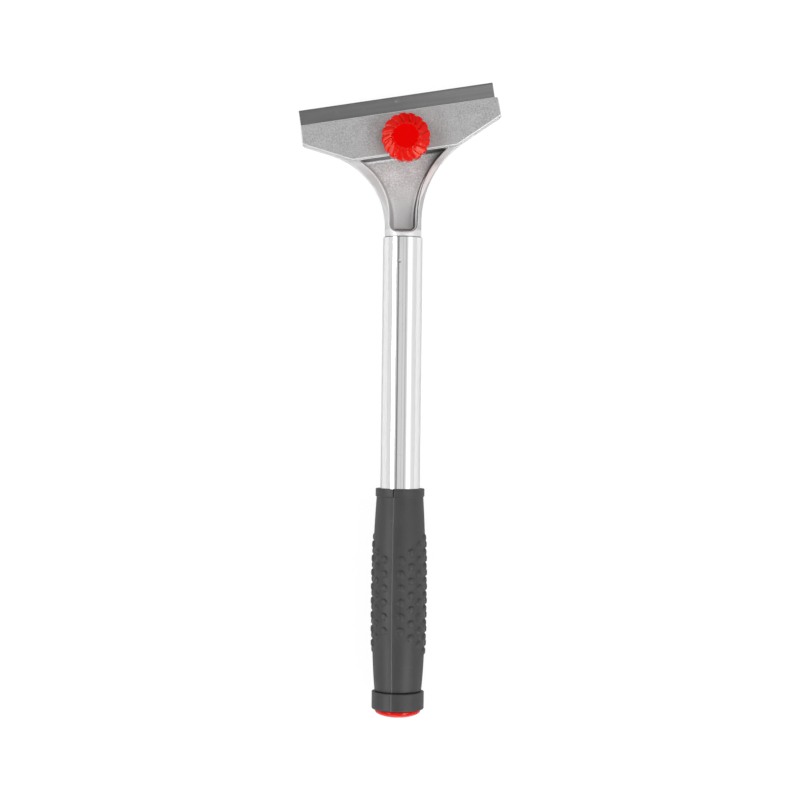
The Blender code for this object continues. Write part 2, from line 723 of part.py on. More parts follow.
def main():
    for old in list(bpy.data.objects):
        bpy.data.objects.remove(old)
    cast_metal = material("cast_metal", (0.42, 0.42, 0.43), 0.55, 0.6)
    plate_metal = material("plate_metal", (0.38, 0.38, 0.39), 0.55, 0.6)
    blade_steel = material("blade_steel", (0.16, 0.16, 0.17), 0.4, 0.8)
    screw_steel = material("screw_steel", (0.55, 0.55, 0.55), 0.3, 1.0)
    chrome = material("chrome", (0.80, 0.80, 0.81), 0.08, 1.0)
    red_plastic = material("red_plastic", (0.75, 0.005, 0.004), 0.25, 0.0)
    grip_rubber = material("grip_rubber", (0.075, 0.077, 0.082), 0.6, 0.0)

    handle = frame("handle_frame", Matrix.Identity(4))
    head = frame("head_frame", HEAD_FRAME, handle)
    screw = frame("screw_axis", SCREW_FRAME, head)
    build_casting(cast_metal, handle)
    build_plate(plate_metal, head)
    build_blade(blade_steel, head)
    build_washer(screw_steel, screw)
    build_screw(screw_steel, screw)
    build_knob(red_plastic, screw)
    build_tube(chrome, handle)
    build_grip(grip_rubber, handle)
    build_cap(red_plastic, handle)
    stand_on_table(handle)


main()
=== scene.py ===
"""Looks of the long-handle glass scraper: fine shapes, finishes, studio and camera around the CAD frame.

All lengths are metres. The handle frame has its origin on the tube's axis, +Y towards the
blade and +Z out of the front. In the head frame u runs along the blade, w towards its edge
and n out of the front, with n = 0 on the face that the blade lies on.
"""

import bisect
import math

import bmesh
import bpy
from mathutils import Matrix, Vector, noise


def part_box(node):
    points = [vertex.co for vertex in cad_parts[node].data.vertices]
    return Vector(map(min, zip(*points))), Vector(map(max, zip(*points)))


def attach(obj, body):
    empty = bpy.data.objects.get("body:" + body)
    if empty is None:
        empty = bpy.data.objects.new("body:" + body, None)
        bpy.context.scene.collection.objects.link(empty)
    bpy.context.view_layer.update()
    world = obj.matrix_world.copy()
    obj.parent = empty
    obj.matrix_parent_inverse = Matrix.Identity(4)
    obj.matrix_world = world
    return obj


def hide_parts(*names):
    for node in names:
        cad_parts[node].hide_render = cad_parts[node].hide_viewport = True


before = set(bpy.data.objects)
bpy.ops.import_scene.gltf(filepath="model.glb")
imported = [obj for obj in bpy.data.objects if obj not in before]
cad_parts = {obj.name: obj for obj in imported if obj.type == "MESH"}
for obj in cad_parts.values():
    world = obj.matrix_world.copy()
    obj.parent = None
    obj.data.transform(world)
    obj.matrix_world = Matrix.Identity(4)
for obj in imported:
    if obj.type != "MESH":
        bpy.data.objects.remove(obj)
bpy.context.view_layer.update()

# Clearance between pieces, and how far a cutter stands over
GAP = 0.0003
OVERRUN = 0.003

# Head: how it stands on the handle, and where its middle and screw lie
HEAD_SKEW = math.radians(9.0)
HEAD_BEND = math.radians(2.0)
HEAD_MIDDLE = -0.0005
SCREW_AXIS = (0.00085, -0.0010)

# Blade, with the small punched mark near its middle
BLADE_MIDDLE = -0.00115
BLADE_LENGTH = 0.1000
BLADE_THICKNESS = 0.0009
BLADE_REAR = 0.0041
BLADE_TIP = 0.0221
BLADE_EDGE = 0.0001
BLADE_GRIND = 0.0008
BLADE_BREAK = 0.00006
MARK_PLACE = (-0.00058, 0.0193)
MARK_RADIUS = 0.0011
MARK_DEPTH = 0.00012

# Clamp plate
PLATE_TOP = 0.0139
PLATE_TOP_HALF = 0.0508
PLATE_SHOULDER = 0.00435
PLATE_HALF = 0.0512
PLATE_HEEL = 0.0073
PLATE_HEEL_HALF = 0.02685
PLATE_UNDERSIDE = 0.0015
PLATE_FACE = 0.0047
PLATE_CORNER = 0.0012
PLATE_EDGE_ROUND = 0.0006
PLATE_FOOT_ROUND = 0.00025
PEG_RADIUS = 0.0015
PEG_LENGTH = 0.0042
PEG_FROM_SCREW = 0.0085

# Head casting
CAST_DEPTH = 0.0080
CAST_MARGIN = 0.0003
CAST_DRAFT = math.radians(4.0)
CAST_EDGE = 0.0006
CAST_CORNER_STEPS = 8
LEDGE = 0.0012
BOSS_HALF = 0.0120
BACK_RIM = 0.0030
BACK_WEB = 0.0032
BACK_CORNER = 0.0018
NECK_LEFT_RADIUS = 0.0400
NECK_RIGHT_RADIUS = 0.0520
NECK_ROOT = 0.0115
NECK_STATIONS = 48
NECK_EDGE_FADE = 3
SECTION_CORNER_STEPS = 12
ROUNDEST_SHARE = 0.97
COLLAR_RADIUS = 0.0093
COLLAR_LENGTH = 0.0030
COLLAR_LOWER = 0.0004
PLUG_LENGTH = 0.0246
PLUG_CHAMFER = 0.0008
RECESS_WEB = 0.0029
RECESS_DRAFT = math.radians(8.0)
RECESS_FOOT = 0.0049
RECESS_FOOT_RIM = 0.0043
RECESS_FOOT_CORNER = 0.0015
RECESS_HEAD_RIM = 0.0060
RECESS_HEAD_GAP = 0.00095
RECESS_SHIFT = 0.0013
RECESS_FLARES = (0.0360, 0.0520)
RECESS_RIGHT_SHIFT = 0.0004
RECESS_STEPS = 24
RECESS_FILLET = 0.0012
RECESS_LIP = 0.0005
RAMP_EASE = 0.18
CAST_SKIN = 0.0002
CAST_SKIN_PASSES = 2
CAST_SKIN_SHARE = 0.3
CAST_ROUGHNESS = 0.00002

# Marks on the casting: depths below its front, the lighter paint deep in the recess, and how dark the painted
# shade is on each wall of the recess, beside its right wall and in the joint with the tube, with the painted
# highlight (glint) on its right wall
RIM_DEPTH = 0.0004
SAND_FADE = 0.0012
NECK_SAND = 0.4
LIP_FADE = 0.0004
DEEP_FROM = 0.0080
DEEP_FADE = 0.0050
COARSE_GRAIN = 0.0011
FINE_GRAIN = 0.0005
JOINT_FADE = 0.0004
WALL_START = 0.0003
WALL_SHADE = 0.0050
LEFT_WALL_SHADE = 0.18
HEAD_WALL_SHADE = 0.82
HEAD_WALL_SHADE_RISE = 0.06
FOOT_WALL_SHADE = 0.72
FOOT_SHADE = 0.0030
FOOT_SHADE_DEPTH = 0.28
FOOT_SHADE_RISE = 1.9
GLINT_FROM = -0.0185
GLINT_FADE = 0.005
GLINT_SHARES = (0.24, 0.56)
GLINT_SOFT = 0.1

# Screw, washer and knob
SCREW_RADIUS = 0.0030
CLEAR_HOLE = 0.0033
THREAD_PITCH = 0.0010
THREAD_DEPTH = 0.00055
THREAD_CREST = 1.25
THREAD_FLANK = 3
THREAD_TOP = -0.0004
SCREW_TIP = -0.0070
SCREW_CHAMFER = 0.0006
SCREW_FLATS = 0.0100
SCREW_HEAD_HEIGHT = 0.0040
WASHER_RADIUS = 0.0080
WASHER_BASE = 0.0050
WASHER_TOP = 0.0060
WASHER_CHAMFER = 0.0002
KNOB_BASE = 0.0063
KNOB_RADIUS = 0.0123
KNOB_BASE_ROUND = 0.0006
KNOB_SKIRT = 0.0069
KNOB_SLOPE = 0.0028
KNOB_SLOPE_START = 0.02
KNOB_SHOULDER_RADIUS = 0.0083
KNOB_SHOULDER_DROP = 0.0006
KNOB_FACE_RADIUS = 0.0061
KNOB_SKIRT_ROUND = 0.0003
KNOB_SKIRT_GROOVE = 0.0005
KNOB_GROOVE = 0.0011
KNOB_FLOOR_SHARE = 0.10
KNOB_WALL_SHARE = 0.18
KNOB_CROWN = 0.00012
KNOB_LOBES = 16
KNOB_TWIST = math.radians(-11.0)

# Tube, with the punched dent that holds it on the casting's plug
TUBE_RADIUS = 0.0100
TUBE_BORE = 0.0092
TUBE_START = 0.0508
TUBE_END = 0.2886
TUBE_LIP = 0.00001
TUBE_SHORTER = 0.0002
DENT_FROM_END = 0.0123
DENT_REACH = 0.0013
DENT_DEPTH = 0.00003
DENT_TURN = math.radians(-8.5)
DENT_PITCH = 0.00015
TUBE_PITCH = 0.02

# Grip
GRIP_FRONT = 0.1780
GRIP_LENGTH = 0.1118
GRIP_BORE = 0.0103
WAIST_RADIUS = 0.01185
GRIP_SWELL = 0.00165
GRIP_BELLY_SHARE = 0.484
FLANGE_RISE = 0.00055
FLANGE_LENGTH = 0.0041
COLLAR_RISE = 0.0014
GRIP_COLLAR = 0.0090
GRIP_EDGE = 0.0008
FLANGE_EDGE = 0.0004
CREASE = 0.0004
BUMP_RADIUS = 0.0020
BUMP_HEIGHT = 0.00085
BUMP_SINK = 0.0004
BUMP_FOOT = 0.00006
BUMP_FULLNESS = 2.2
BUMP_PITCH = 0.00715
BUMP_MIDDLE_SHARE = 0.477
BUMPS_IN_LONGEST = 9
COLUMNS_PER_SIDE = 7
SEAM_TURN = math.radians(15.0)
SEAM_CLEAR = math.radians(19.0)
SEAM_WIDTH = 0.00028
SEAM_HEIGHT = 0.00022
SLIT_WIDTH = 0.0004
SLIT_DEPTH = 0.0008

# End cap
CAP_RADIUS = 0.0116
CAP_HEIGHT = 0.0043
CAP_RIM = 0.0005
CAP_SPIGOT = 0.0140
CAP_WALL = 0.0015
CAP_EDGE = 0.00025

# Where the frames lie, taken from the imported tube
TUBE_LOW, TUBE_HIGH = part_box("handle_tube")
TUBE_CENTRE = (TUBE_LOW + TUBE_HIGH) / 2
SEAT_DROP = (
    WAIST_RADIUS + GRIP_SWELL + BUMP_HEIGHT
    - CAST_DEPTH * math.cos(HEAD_BEND) - PLATE_TOP * math.sin(HEAD_BEND)
)
HANDLE = Matrix.Translation((TUBE_CENTRE.x, TUBE_HIGH.y + TUBE_START, TUBE_CENTRE.z))
HEAD_TURN = Matrix.Rotation(HEAD_SKEW, 4, "Z") @ Matrix.Rotation(-HEAD_BEND, 4, "X")
HEAD_IN_HANDLE = Matrix.Translation((0, 0, -SEAT_DROP)) @ HEAD_TURN
HEAD = HANDLE @ HEAD_IN_HANDLE
SCREW = HEAD @ Matrix.Translation((*SCREW_AXIS, 0))


# Meshes


def evenly(start, end, count):
    """Equal steps from start to end, both of them included."""
    return [start + (end - start) * step / count for step in range(count + 1)]


def spaced(start, end, pitch):
    return evenly(start, end, max(1, math.ceil(abs(end - start) / pitch)))


def even_turns(segments):
    return evenly(0, math.tau, segments)[:-1]


def quarter(steps):
    """Sine and cosine at equal steps over a quarter turn."""
    turns = [math.radians(turn) for turn in evenly(0, 90, steps)]
    return [(math.sin(turn), math.cos(turn)) for turn in turns]


def clamped(share):
    return min(1.0, max(0.0, share))


def eased(share):
    share = clamped(share)
    return share * share * (3 - 2 * share)


def lofted(rings, closed_ends=True):
    """A skin through rings of equally many points."""
    mesh = bmesh.new()
    rows = [[mesh.verts.new(point) for point in ring] for ring in rings]
    for low, high in zip(rows, rows[1:]):
        for this, after in zip(range(len(low)), [*range(1, len(low)), 0]):
            mesh.faces.new((low[this], low[after], high[after], high[this]))
    if closed_ends:
        mesh.faces.new(rows[0])
        mesh.faces.new(rows[-1])
    bmesh.ops.recalc_face_normals(mesh, faces=mesh.faces)
    return mesh


def at_height(outline, height):
    return [Vector((*point, height)) for point in outline]


def circle(radius, middle=(0, 0), segments=96):
    x, y = middle
    return [(x + radius * math.cos(turn), y + radius * math.sin(turn)) for turn in even_turns(segments)]


def turned(profile, segments):
    """A closed skin turned about Y from a ring of (radius, y) points."""
    rings = []
    for radius, along in profile:
        rings.append([Vector((u, along, w)) for u, w in circle(radius, segments=segments)])
    return cleaned(lofted([*rings, rings[0]], closed_ends=False))


def cleaned(mesh, distance=1e-6):
    """Merges points that coincide, such as those of a ring of no radius."""
    bmesh.ops.remove_doubles(mesh, verts=mesh.verts, dist=distance)
    bmesh.ops.recalc_face_normals(mesh, faces=mesh.faces)
    return mesh


def neighbours(outline):
    return zip([outline[-1], *outline], outline, [*outline[1:], outline[0]])


def offset(outline, amount):
    """The outline, given anticlockwise, moved outward by this amount."""
    moved = []
    for before, point, after in neighbours(outline):
        into = (Vector(point) - Vector(before)).normalized()
        out = (Vector(after) - Vector(point)).normalized()
        outward = Vector((into.y + out.y, -into.x - out.x))
        moved.append(tuple(Vector(point) + outward * (2 * amount / outward.length_squared)))
    return moved


def arc_in_corner(before, corner, after, radius, steps):
    """Points of the arc that rounds this corner, from its side of before to its side of after."""
    into = (Vector(before) - Vector(corner)).normalized()
    out = (Vector(after) - Vector(corner)).normalized()
    half = into.angle(out) / 2
    middle = Vector(corner) + (into + out).normalized() * (radius / math.sin(half))
    start = Vector(corner) + into * (radius / math.tan(half)) - middle
    sweep = math.copysign(math.pi - 2 * half, out.cross(into))
    return [tuple(middle + Matrix.Rotation(turn, 2) @ start) for turn in evenly(0, sweep, steps)]


def rounded(corners, radius, steps):
    arcs = [arc_in_corner(*three, radius, steps) for three in neighbours(corners)]
    return [point for arc in arcs for point in arc]


def prism(outline, low, high, growth=0.0):
    return lofted([at_height(outline, low), at_height(offset(outline, growth), high)])


def slab(outline, low, high, low_round, high_round, steps=5):
    """A plate between two heights with rounded edges; a narrow flat rim keeps its faces flat."""
    rings = [at_height(offset(outline, -low_round - GAP / 2), low)]
    for sine, cosine in quarter(steps):
        rings.append(at_height(offset(outline, -low_round * (1 - sine)), low + low_round * (1 - cosine)))
    for sine, cosine in quarter(steps):
        rings.append(at_height(offset(outline, -high_round * (1 - cosine)), high - high_round * (1 - sine)))
    rings.append(at_height(offset(outline, -high_round - GAP / 2), high))
    return lofted(rings)


def placed(name, data):
    """A new object of the scene with this data."""
    made = bpy.data.objects.new(name, data)
    bpy.context.scene.collection.objects.link(made)
    return made


def body_of(name, mesh):
    """Turns a mesh that is still being edited into an object."""
    data = bpy.data.meshes.new(name)
    mesh.to_mesh(data)
    mesh.free()
    return placed(name, data)


def settle(body):
    """Applies the modifiers of a body."""
    evaluated = body.evaluated_get(bpy.context.evaluated_depsgraph_get())
    result = bpy.data.meshes.new_from_object(evaluated)
    body.modifiers.clear()
    spent = body.data
    body.data = result
    bpy.data.meshes.remove(spent)


def combine(body, operation, mesh):
    tool = body_of(f"{body.name}_tool", mesh)
    step = body.modifiers.new(operation.title(), "BOOLEAN")
    step.operation = operation
    step.solver = "EXACT"
    step.object = tool
    settle(body)
    spent = tool.data
    bpy.data.objects.remove(tool)
    bpy.data.meshes.remove(spent)


def in_frame(mesh, matrix):
    mesh.transform(matrix)
    return mesh


def finished(body, finish, carrier, sharp_above):
    """Gives a piece its finish, and puts it on its body in place of the plain node."""
    body.data.materials.clear()
    body.data.materials.append(finish)
    body.data.shade_smooth()
    body.data.set_sharp_from_angle(angle=math.radians(sharp_above))
    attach(body, carrier)
    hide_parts(body.name.removeprefix("fine_"))


# Head casting


def plate_corners(grown=0.0):
    """The six-sided outline in u and w, anticlockwise from the left end of the heel."""
    corners = [
        (-PLATE_HEEL_HALF, -PLATE_HEEL),
        (PLATE_HEEL_HALF, -PLATE_HEEL),
        (PLATE_HALF, PLATE_SHOULDER),
        (PLATE_TOP_HALF, PLATE_TOP),
        (-PLATE_TOP_HALF, PLATE_TOP),
        (-PLATE_HALF, PLATE_SHOULDER),
    ]
    return [(HEAD_MIDDLE + u, w) for u, w in offset(corners, grown)]


def in_handle(u, w):
    return (HEAD_IN_HANDLE @ Vector((u, w, 0))).to_2d()


def head_height(point, level):
    """Height in the handle frame of the head's plane at this level of n, over a point in x and y."""
    normal = HEAD_TURN @ Vector((0, 0, 1))
    return -SEAT_DROP + (level - normal.x * point[0] - normal.y * point[1]) / normal.z


COLLAR_END = -TUBE_START + GAP - COLLAR_LOWER


def neck_share(y):
    start = COLLAR_END + COLLAR_LENGTH
    return (y - start) / (-NECK_ROOT - start)


def neck_back(y):
    at_root = head_height((0, -NECK_ROOT), -CAST_DEPTH)
    return -COLLAR_RADIUS + (at_root + COLLAR_RADIUS) * neck_share(y)


def ramp(share):
    """A straight rise from 0 to 1 with its two ends eased."""
    share = clamped(share)
    near = min(share, 1 - share)
    rise = near * near / (2 * RAMP_EASE) if near < RAMP_EASE else near - RAMP_EASE / 2
    rise /= 1 - RAMP_EASE
    return rise if share < 0.5 else 1 - rise


def front_height(point):
    """Height of the casting's front, from the collar's top to the ledge behind the plate."""
    return COLLAR_RADIUS + (head_height(point, LEDGE) - COLLAR_RADIUS) * ramp(neck_share(point[1]))


def section_shape(left, right, shrink=0.0):
    """Half width, half height, middle level, lean, edge radius and neck share of one section."""
    share = clamped(neck_share((left.y + right.y) / 2))
    fronts = [head_height(end, LEDGE - shrink) for end in (left, right)]
    fronts = [front * ramp(share) + COLLAR_RADIUS * (1 - ramp(share)) for front in fronts]
    backs = [head_height(end, shrink - CAST_DEPTH) for end in (left, right)]
    backs = [back * share - COLLAR_RADIUS * (1 - share) for back in backs]
    half = (right - left).length / 2
    tall = (sum(fronts) - sum(backs)) / 4
    level = (sum(fronts) + sum(backs)) / 4
    lean = level - (fronts[0] + backs[0]) / 2
    largest = min(half, tall) * ROUNDEST_SHARE
    edge = CAST_EDGE + (largest - CAST_EDGE) * (1 - share) ** NECK_EDGE_FADE
    return half, tall, level, lean, edge, share


def casting_section(left, right, shrink=0.0):
    """One ring of the casting between its left and right outline points: a rounded oblong."""
    left = Vector(left)
    right = Vector(right)
    half, tall, level, lean, edge, share = section_shape(left, right, shrink)
    ring = []
    for side, lift, start in ((1, -1, -90), (1, 1, 0), (-1, 1, 90), (-1, -1, 180)):
        for step in range(SECTION_CORNER_STEPS + 1):
            turn = math.radians(start + 90 * step / SECTION_CORNER_STEPS)
            height = lift * (tall - edge) + edge * math.sin(turn)
            across = side * (half - edge) + edge * math.cos(turn)
            across -= side * share * math.tan(CAST_DRAFT) * (tall - height)
            flat = left.lerp(right, (across / half + 1) / 2)
            ring.append(Vector((flat.x, flat.y, level + height + lean * across / half)))
    return ring


def neck_side(side, radius):
    """One side of the casting's outline, from the tube's end to where the neck meets the head."""
    corners = plate_corners(CAST_MARGIN)
    shoulder, heel = (corners[2], corners[1]) if side > 0 else (corners[5], corners[0])
    shoulder = in_handle(*shoulder)
    heel = in_handle(*heel)
    collar = side * COLLAR_RADIUS
    meeting = heel.lerp(shoulder, (collar - heel.x) / (shoulder.x - heel.x))
    straight = [(collar, COLLAR_END), (collar, COLLAR_END + COLLAR_LENGTH)]
    return straight + arc_in_corner(straight[0], meeting, shoulder, radius, NECK_STATIONS)


def neck_sides():
    return [neck_side(-1, NECK_LEFT_RADIUS), neck_side(1, NECK_RIGHT_RADIUS)]


def skin_front(point, sides):
    """Height of the neck's front over a point, on the section that runs through it from side to side."""
    def crossing(station):
        (x0, y0), (x1, y1) = (side[station] for side in sides)
        return y0 + (y1 - y0) * (point.x - x0) / (x1 - x0)

    stations = range(len(sides[0]))
    after = min(max(1, bisect.bisect(stations, point.y, key=crossing)), stations[-1])
    share = clamped((point.y - crossing(after - 1)) / (crossing(after) - crossing(after - 1)))
    left, right = (Vector(side[after - 1]).lerp(Vector(side[after]), share) for side in sides)
    half, tall, level, lean, edge, share = section_shape(left, right)
    across = (point - (left + right) / 2).dot((right - left).normalized())
    past = min(edge, max(0.0, abs(across) - half + edge))
    return level + tall - edge + math.sqrt(edge * edge - past * past) + lean * across / half


def casting_skin():
    """Collar, neck and head in one loft, from the tube's end to the side where the blade stands out."""
    rings = [casting_section(left, right) for left, right in zip(*neck_sides())]
    corners = plate_corners(CAST_MARGIN)
    rings.append(casting_section(in_handle(*corners[5]), in_handle(*corners[2])))
    for step in range(CAST_CORNER_STEPS + 1):
        turn = math.radians(90 * step / CAST_CORNER_STEPS)
        pull = PLATE_CORNER * (1 - math.cos(turn))
        w = corners[3][1] - PLATE_CORNER * (1 - math.sin(turn))
        ends = (in_handle(corners[4][0] + pull, w), in_handle(corners[3][0] - pull, w))
        rings.append(casting_section(*ends, shrink=CAST_EDGE * (1 - math.cos(turn))))
    return lofted(rings)


def recess_flank(side):
    """One side of the recess's floor: half width at the foot, and start, radius and sweep of its flare."""
    flare = RECESS_FLARES[side > 0]
    half = COLLAR_RADIUS - RECESS_FOOT_RIM + (RECESS_RIGHT_SHIFT if side > 0 else 0)
    u = HEAD_MIDDLE - RECESS_SHIFT + side * (PLATE_HEEL_HALF - RECESS_HEAD_RIM)
    corner = in_handle(u, -PLATE_HEEL - RECESS_HEAD_GAP)
    full = math.acos(1 - (abs(corner.x) - half) / flare)
    return half, corner.y - flare * math.sin(full), flare, full


def recess_outline():
    """The recess's floor in x and y: straight at its foot, flared to its corners at the head."""
    foot = COLLAR_END + RECESS_FOOT
    outline = []
    for side in (-1, 1):
        half, start, flare, full = recess_flank(side)
        end = (side * half, foot)
        run = arc_in_corner((0, foot), end, (end[0], start), RECESS_FOOT_CORNER, CAST_CORNER_STEPS)
        for turn in evenly(0, full, RECESS_STEPS):
            run.append((side * (half + flare * (1 - math.cos(turn))), start + flare * math.sin(turn)))
        outline += reversed(run) if side < 0 else run
    return outline


def recess():
    """The recess as cut: a filleted floor, drafted walls and a rounded lip."""
    outline = recess_outline()
    sides = neck_sides()
    rings = []
    for sine, cosine in quarter(6):
        level = RECESS_WEB + RECESS_FILLET * (1 - cosine)
        inner = offset(outline, -RECESS_FILLET * (1 - sine))
        rings.append([Vector((x, y, neck_back(y) + level)) for x, y in inner])
    outward = [Vector(grown) - Vector(point) for grown, point in zip(offset(outline, 1.0), outline)]
    lips = [(-RECESS_LIP * (1 - sine), RECESS_LIP * (1 - cosine)) for sine, cosine in quarter(7)]
    for rise, widening in (*lips, (OVERRUN, RECESS_LIP + GAP / 3)):
        ring = []
        for (x, y), out in zip(outline, outward):
            floor = neck_back(y) + RECESS_WEB
            reach = (front_height((x, y)) - floor) * math.tan(RECESS_DRAFT)
            front = skin_front(Vector((x, y)) + out * reach, sides)
            height = front + rise
            reach = (min(height, front) - floor) * math.tan(RECESS_DRAFT) + widening
            ring.append(Vector((*(Vector((x, y)) + out * reach), height)))
        rings.append(ring)
    return lofted(rings)


def back_pockets():
    inner = offset(plate_corners(), -BACK_RIM)
    heel = inner[0][1]
    top = inner[3][1]
    left = SCREW_AXIS[0] - BOSS_HALF
    right = SCREW_AXIS[0] + BOSS_HALF
    outlines = (
        [inner[0], (left, heel), (left, top), inner[4], inner[5]],
        [(right, heel), inner[1], inner[2], inner[3], (right, top)],
    )
    low = -CAST_DEPTH - OVERRUN
    narrowing = (-BACK_WEB - low) * math.tan(CAST_DRAFT)
    return [prism(rounded(outline, BACK_CORNER, 8), low, -BACK_WEB, -narrowing) for outline in outlines]


def peg_places():
    return [(SCREW_AXIS[0] + side * PEG_FROM_SCREW, SCREW_AXIS[1]) for side in (-1, 1)]


def soften(body, skin, passes, share):
    """Gives a casting its soft edges: one even skin over the body, smoothed and thinned on the flats."""
    remesh = body.modifiers.new("Skin", "REMESH")
    remesh.mode = "VOXEL"
    remesh.voxel_size = skin
    smooth = body.modifiers.new("Smooth", "SMOOTH")
    smooth.factor = 0.5
    smooth.iterations = passes
    body.modifiers.new("Thin", "DECIMATE").ratio = share
    settle(body)


def faces_recess(place, flat, normal):
    """Whether a steep part of the skin, at this place on the handle and the head, is the recess's."""
    at_head = abs(flat.y + PLATE_HEEL + RECESS_HEAD_GAP) < 3 * CAST_EDGE
    if at_head and normal.y < 0:
        return abs(flat.x - HEAD_MIDDLE + RECESS_SHIFT) < PLATE_HEEL_HALF - RECESS_HEAD_RIM + CAST_EDGE
    if normal.y > 0.8 and abs(place.x) < COLLAR_RADIUS - RECESS_FOOT_RIM + CAST_EDGE:
        return place.y < COLLAR_END + 2 * RECESS_FOOT
    return normal.x * place.x < 0 and flat.y < -PLATE_HEEL


def glint_at(y, share):
    """The painted highlight on the recess's right wall, at this y and this share of the recess's depth."""
    start, end = GLINT_SHARES
    near = eased((share - start) / GLINT_SOFT) * (1 - eased((share - end) / GLINT_SOFT))
    return eased((GLINT_FROM - y) / GLINT_FADE) * near


def painted_wall_shade(place, normal):
    """How strong the painted shade is on a recess wall that faces this way: weak on the left wall, which
    faces the light, partial on the wall at the head, full elsewhere.
    """
    if normal.x > 0.3:
        return LEFT_WALL_SHADE
    if normal.y < -0.8:
        return HEAD_WALL_SHADE + HEAD_WALL_SHADE_RISE * eased(place.x / 0.02 + 0.5)
    return 1.0


def paint_casting(body):
    """Marks the sandy and the polished skin, paints shade on the recess's walls, on its floor beside the
    right wall and in the joint with the tube, a highlight on its lip and right wall and light deep in its
    floor, and roughens it.

    Where a mark depends on the way the skin faces, it starts at the number that is taken off the
    normal and is full once the number that it is divided by is passed.
    """
    data = body.data
    into_handle = HANDLE.inverted()
    into_head = HEAD.inverted()
    names = ("sand", "polish", "painted_shade", "painted_highlight", "deep_painted_light")
    for name in names:
        data.attributes.new(name, "FLOAT", "POINT")
    layers = [data.attributes[name].data for name in names]
    normals = [vertex.normal.copy() for vertex in data.vertices]
    sides = neck_sides()
    half, start, flare, full = recess_flank(1)
    for vertex, normal in zip(data.vertices, normals):
        sand, polish, painted_shade, painted_highlight, deep_painted_light = (layer[vertex.index] for layer in layers)
        place = into_handle @ vertex.co
        flat = into_head @ vertex.co
        depth = skin_front(place.xy, sides) - place.z
        past_rim = depth - RIM_DEPTH
        facing_front = eased((normal.z - 0.05) / 0.4)
        facing_back = eased((-normal.z - 0.3) / 0.4) * eased((place.y - COLLAR_END - 0.008) / 0.006)
        in_neck = NECK_SAND if abs(place.x) < COLLAR_RADIUS else 0.0
        in_front = eased(past_rim / SAND_FADE) * max(facing_front, in_neck)
        sand.value = max(in_front, facing_back, eased((flat.z + 0.0012) / -0.003) * 0.5)
        polish.value = 1 - eased((place.y - COLLAR_END - COLLAR_LENGTH) / SAND_FADE)
        # Painted light: the floor deep in the recess is painted lighter
        deep_painted_light.value = in_front * eased((depth - DEEP_FROM) / DEEP_FADE)
        # Painted shade on the recess's walls, by the way each faces the light; a painted highlight (glint) on
        # the right wall and on the lip
        if faces_recess(place, flat, normal):
            steep = 1 - eased((abs(normal.z) - 0.4) / 0.55)
            if normal.x < -0.3 and normal.y > -0.8:
                share = depth / max(0.001, depth + place.z - neck_back(place.y) - RECESS_WEB)
                glint = glint_at(place.y, share)
                fading = 1 - glint
                painted_highlight.value = glint * steep
            elif normal.x <= 0.3 and normal.y > 0.8:
                fading = FOOT_WALL_SHADE
            else:
                fading = (1 - eased((depth - WALL_SHADE) / WALL_SHADE)) * painted_wall_shade(place, normal)
            painted_shade.value = steep * fading * eased(past_rim / WALL_START)
            # Painted highlight along the rounded lip of the recess
            turning = eased((normal.z - 0.2) / 0.2) * (1 - eased((normal.z - 0.92) / 0.07))
            painted_highlight.value = max(turning * (1 - eased(past_rim / LIP_FADE)), painted_highlight.value)
        # Painted shade on the floor beside the recess's right wall, stronger towards the head
        if in_front > 0.5 and place.x > 0 and flat.y < -PLATE_HEEL - RECESS_HEAD_GAP + CAST_EDGE:
            away = math.hypot(place.x - half - flare, max(0.0, place.y - start)) - flare
            shade = FOOT_SHADE_DEPTH * (1 + FOOT_SHADE_RISE * eased((place.y - GLINT_FROM) / 0.01))
            painted_shade.value = max(shade * (1 - clamped(away / FOOT_SHADE)) * in_front, painted_shade.value)
        # Painted shadow in the gap at the joint with the tube
        joint_shadow = 1 - eased((place.y - COLLAR_END - 0.0001) / JOINT_FADE)
        painted_shade.value = max(painted_shade.value, joint_shadow)
        grain = noise.noise(vertex.co / COARSE_GRAIN) + 0.5 * noise.noise(vertex.co / FINE_GRAIN)
        rough = CAST_ROUGHNESS * sand.value + CAST_ROUGHNESS / 4
        vertex.co += normal * (grain * rough * (1 - polish.value))


def make_casting(finish):
    body = body_of("fine_head_casting", in_frame(casting_skin(), HANDLE))
    end = COLLAR_END - PLUG_LENGTH
    plug = TUBE_BORE - GAP
    root = COLLAR_END + COLLAR_LENGTH / 2
    profile = [(0, root), (plug, root), (plug, end + PLUG_CHAMFER), (plug - PLUG_CHAMFER, end), (0, end)]
    combine(body, "UNION", in_frame(turned(profile, 96), HANDLE))
    combine(body, "DIFFERENCE", in_frame(recess(), HANDLE))
    side = PLATE_HALF + OVERRUN
    rear = BLADE_REAR - GAP
    front = PLATE_TOP + OVERRUN
    seat = [(-side, rear), (side, rear), (side, front), (-side, front)]
    cutters = [prism(seat, 0, LEDGE + OVERRUN), *back_pockets()]
    cutters.append(prism(circle(CLEAR_HOLE, SCREW_AXIS), -CAST_DEPTH - OVERRUN, LEDGE + OVERRUN))
    for middle in peg_places():
        floor = PLATE_UNDERSIDE - PEG_LENGTH - GAP
        cutters.append(prism(circle(PEG_RADIUS + GAP, middle, 48), floor, LEDGE + OVERRUN))
    for cutter in cutters:
        combine(body, "DIFFERENCE", in_frame(cutter, HEAD))
    soften(body, CAST_SKIN, CAST_SKIN_PASSES, CAST_SKIN_SHARE)
    paint_casting(body)
    finished(body, finish, "handle", 60)


# Clamp plate and blade


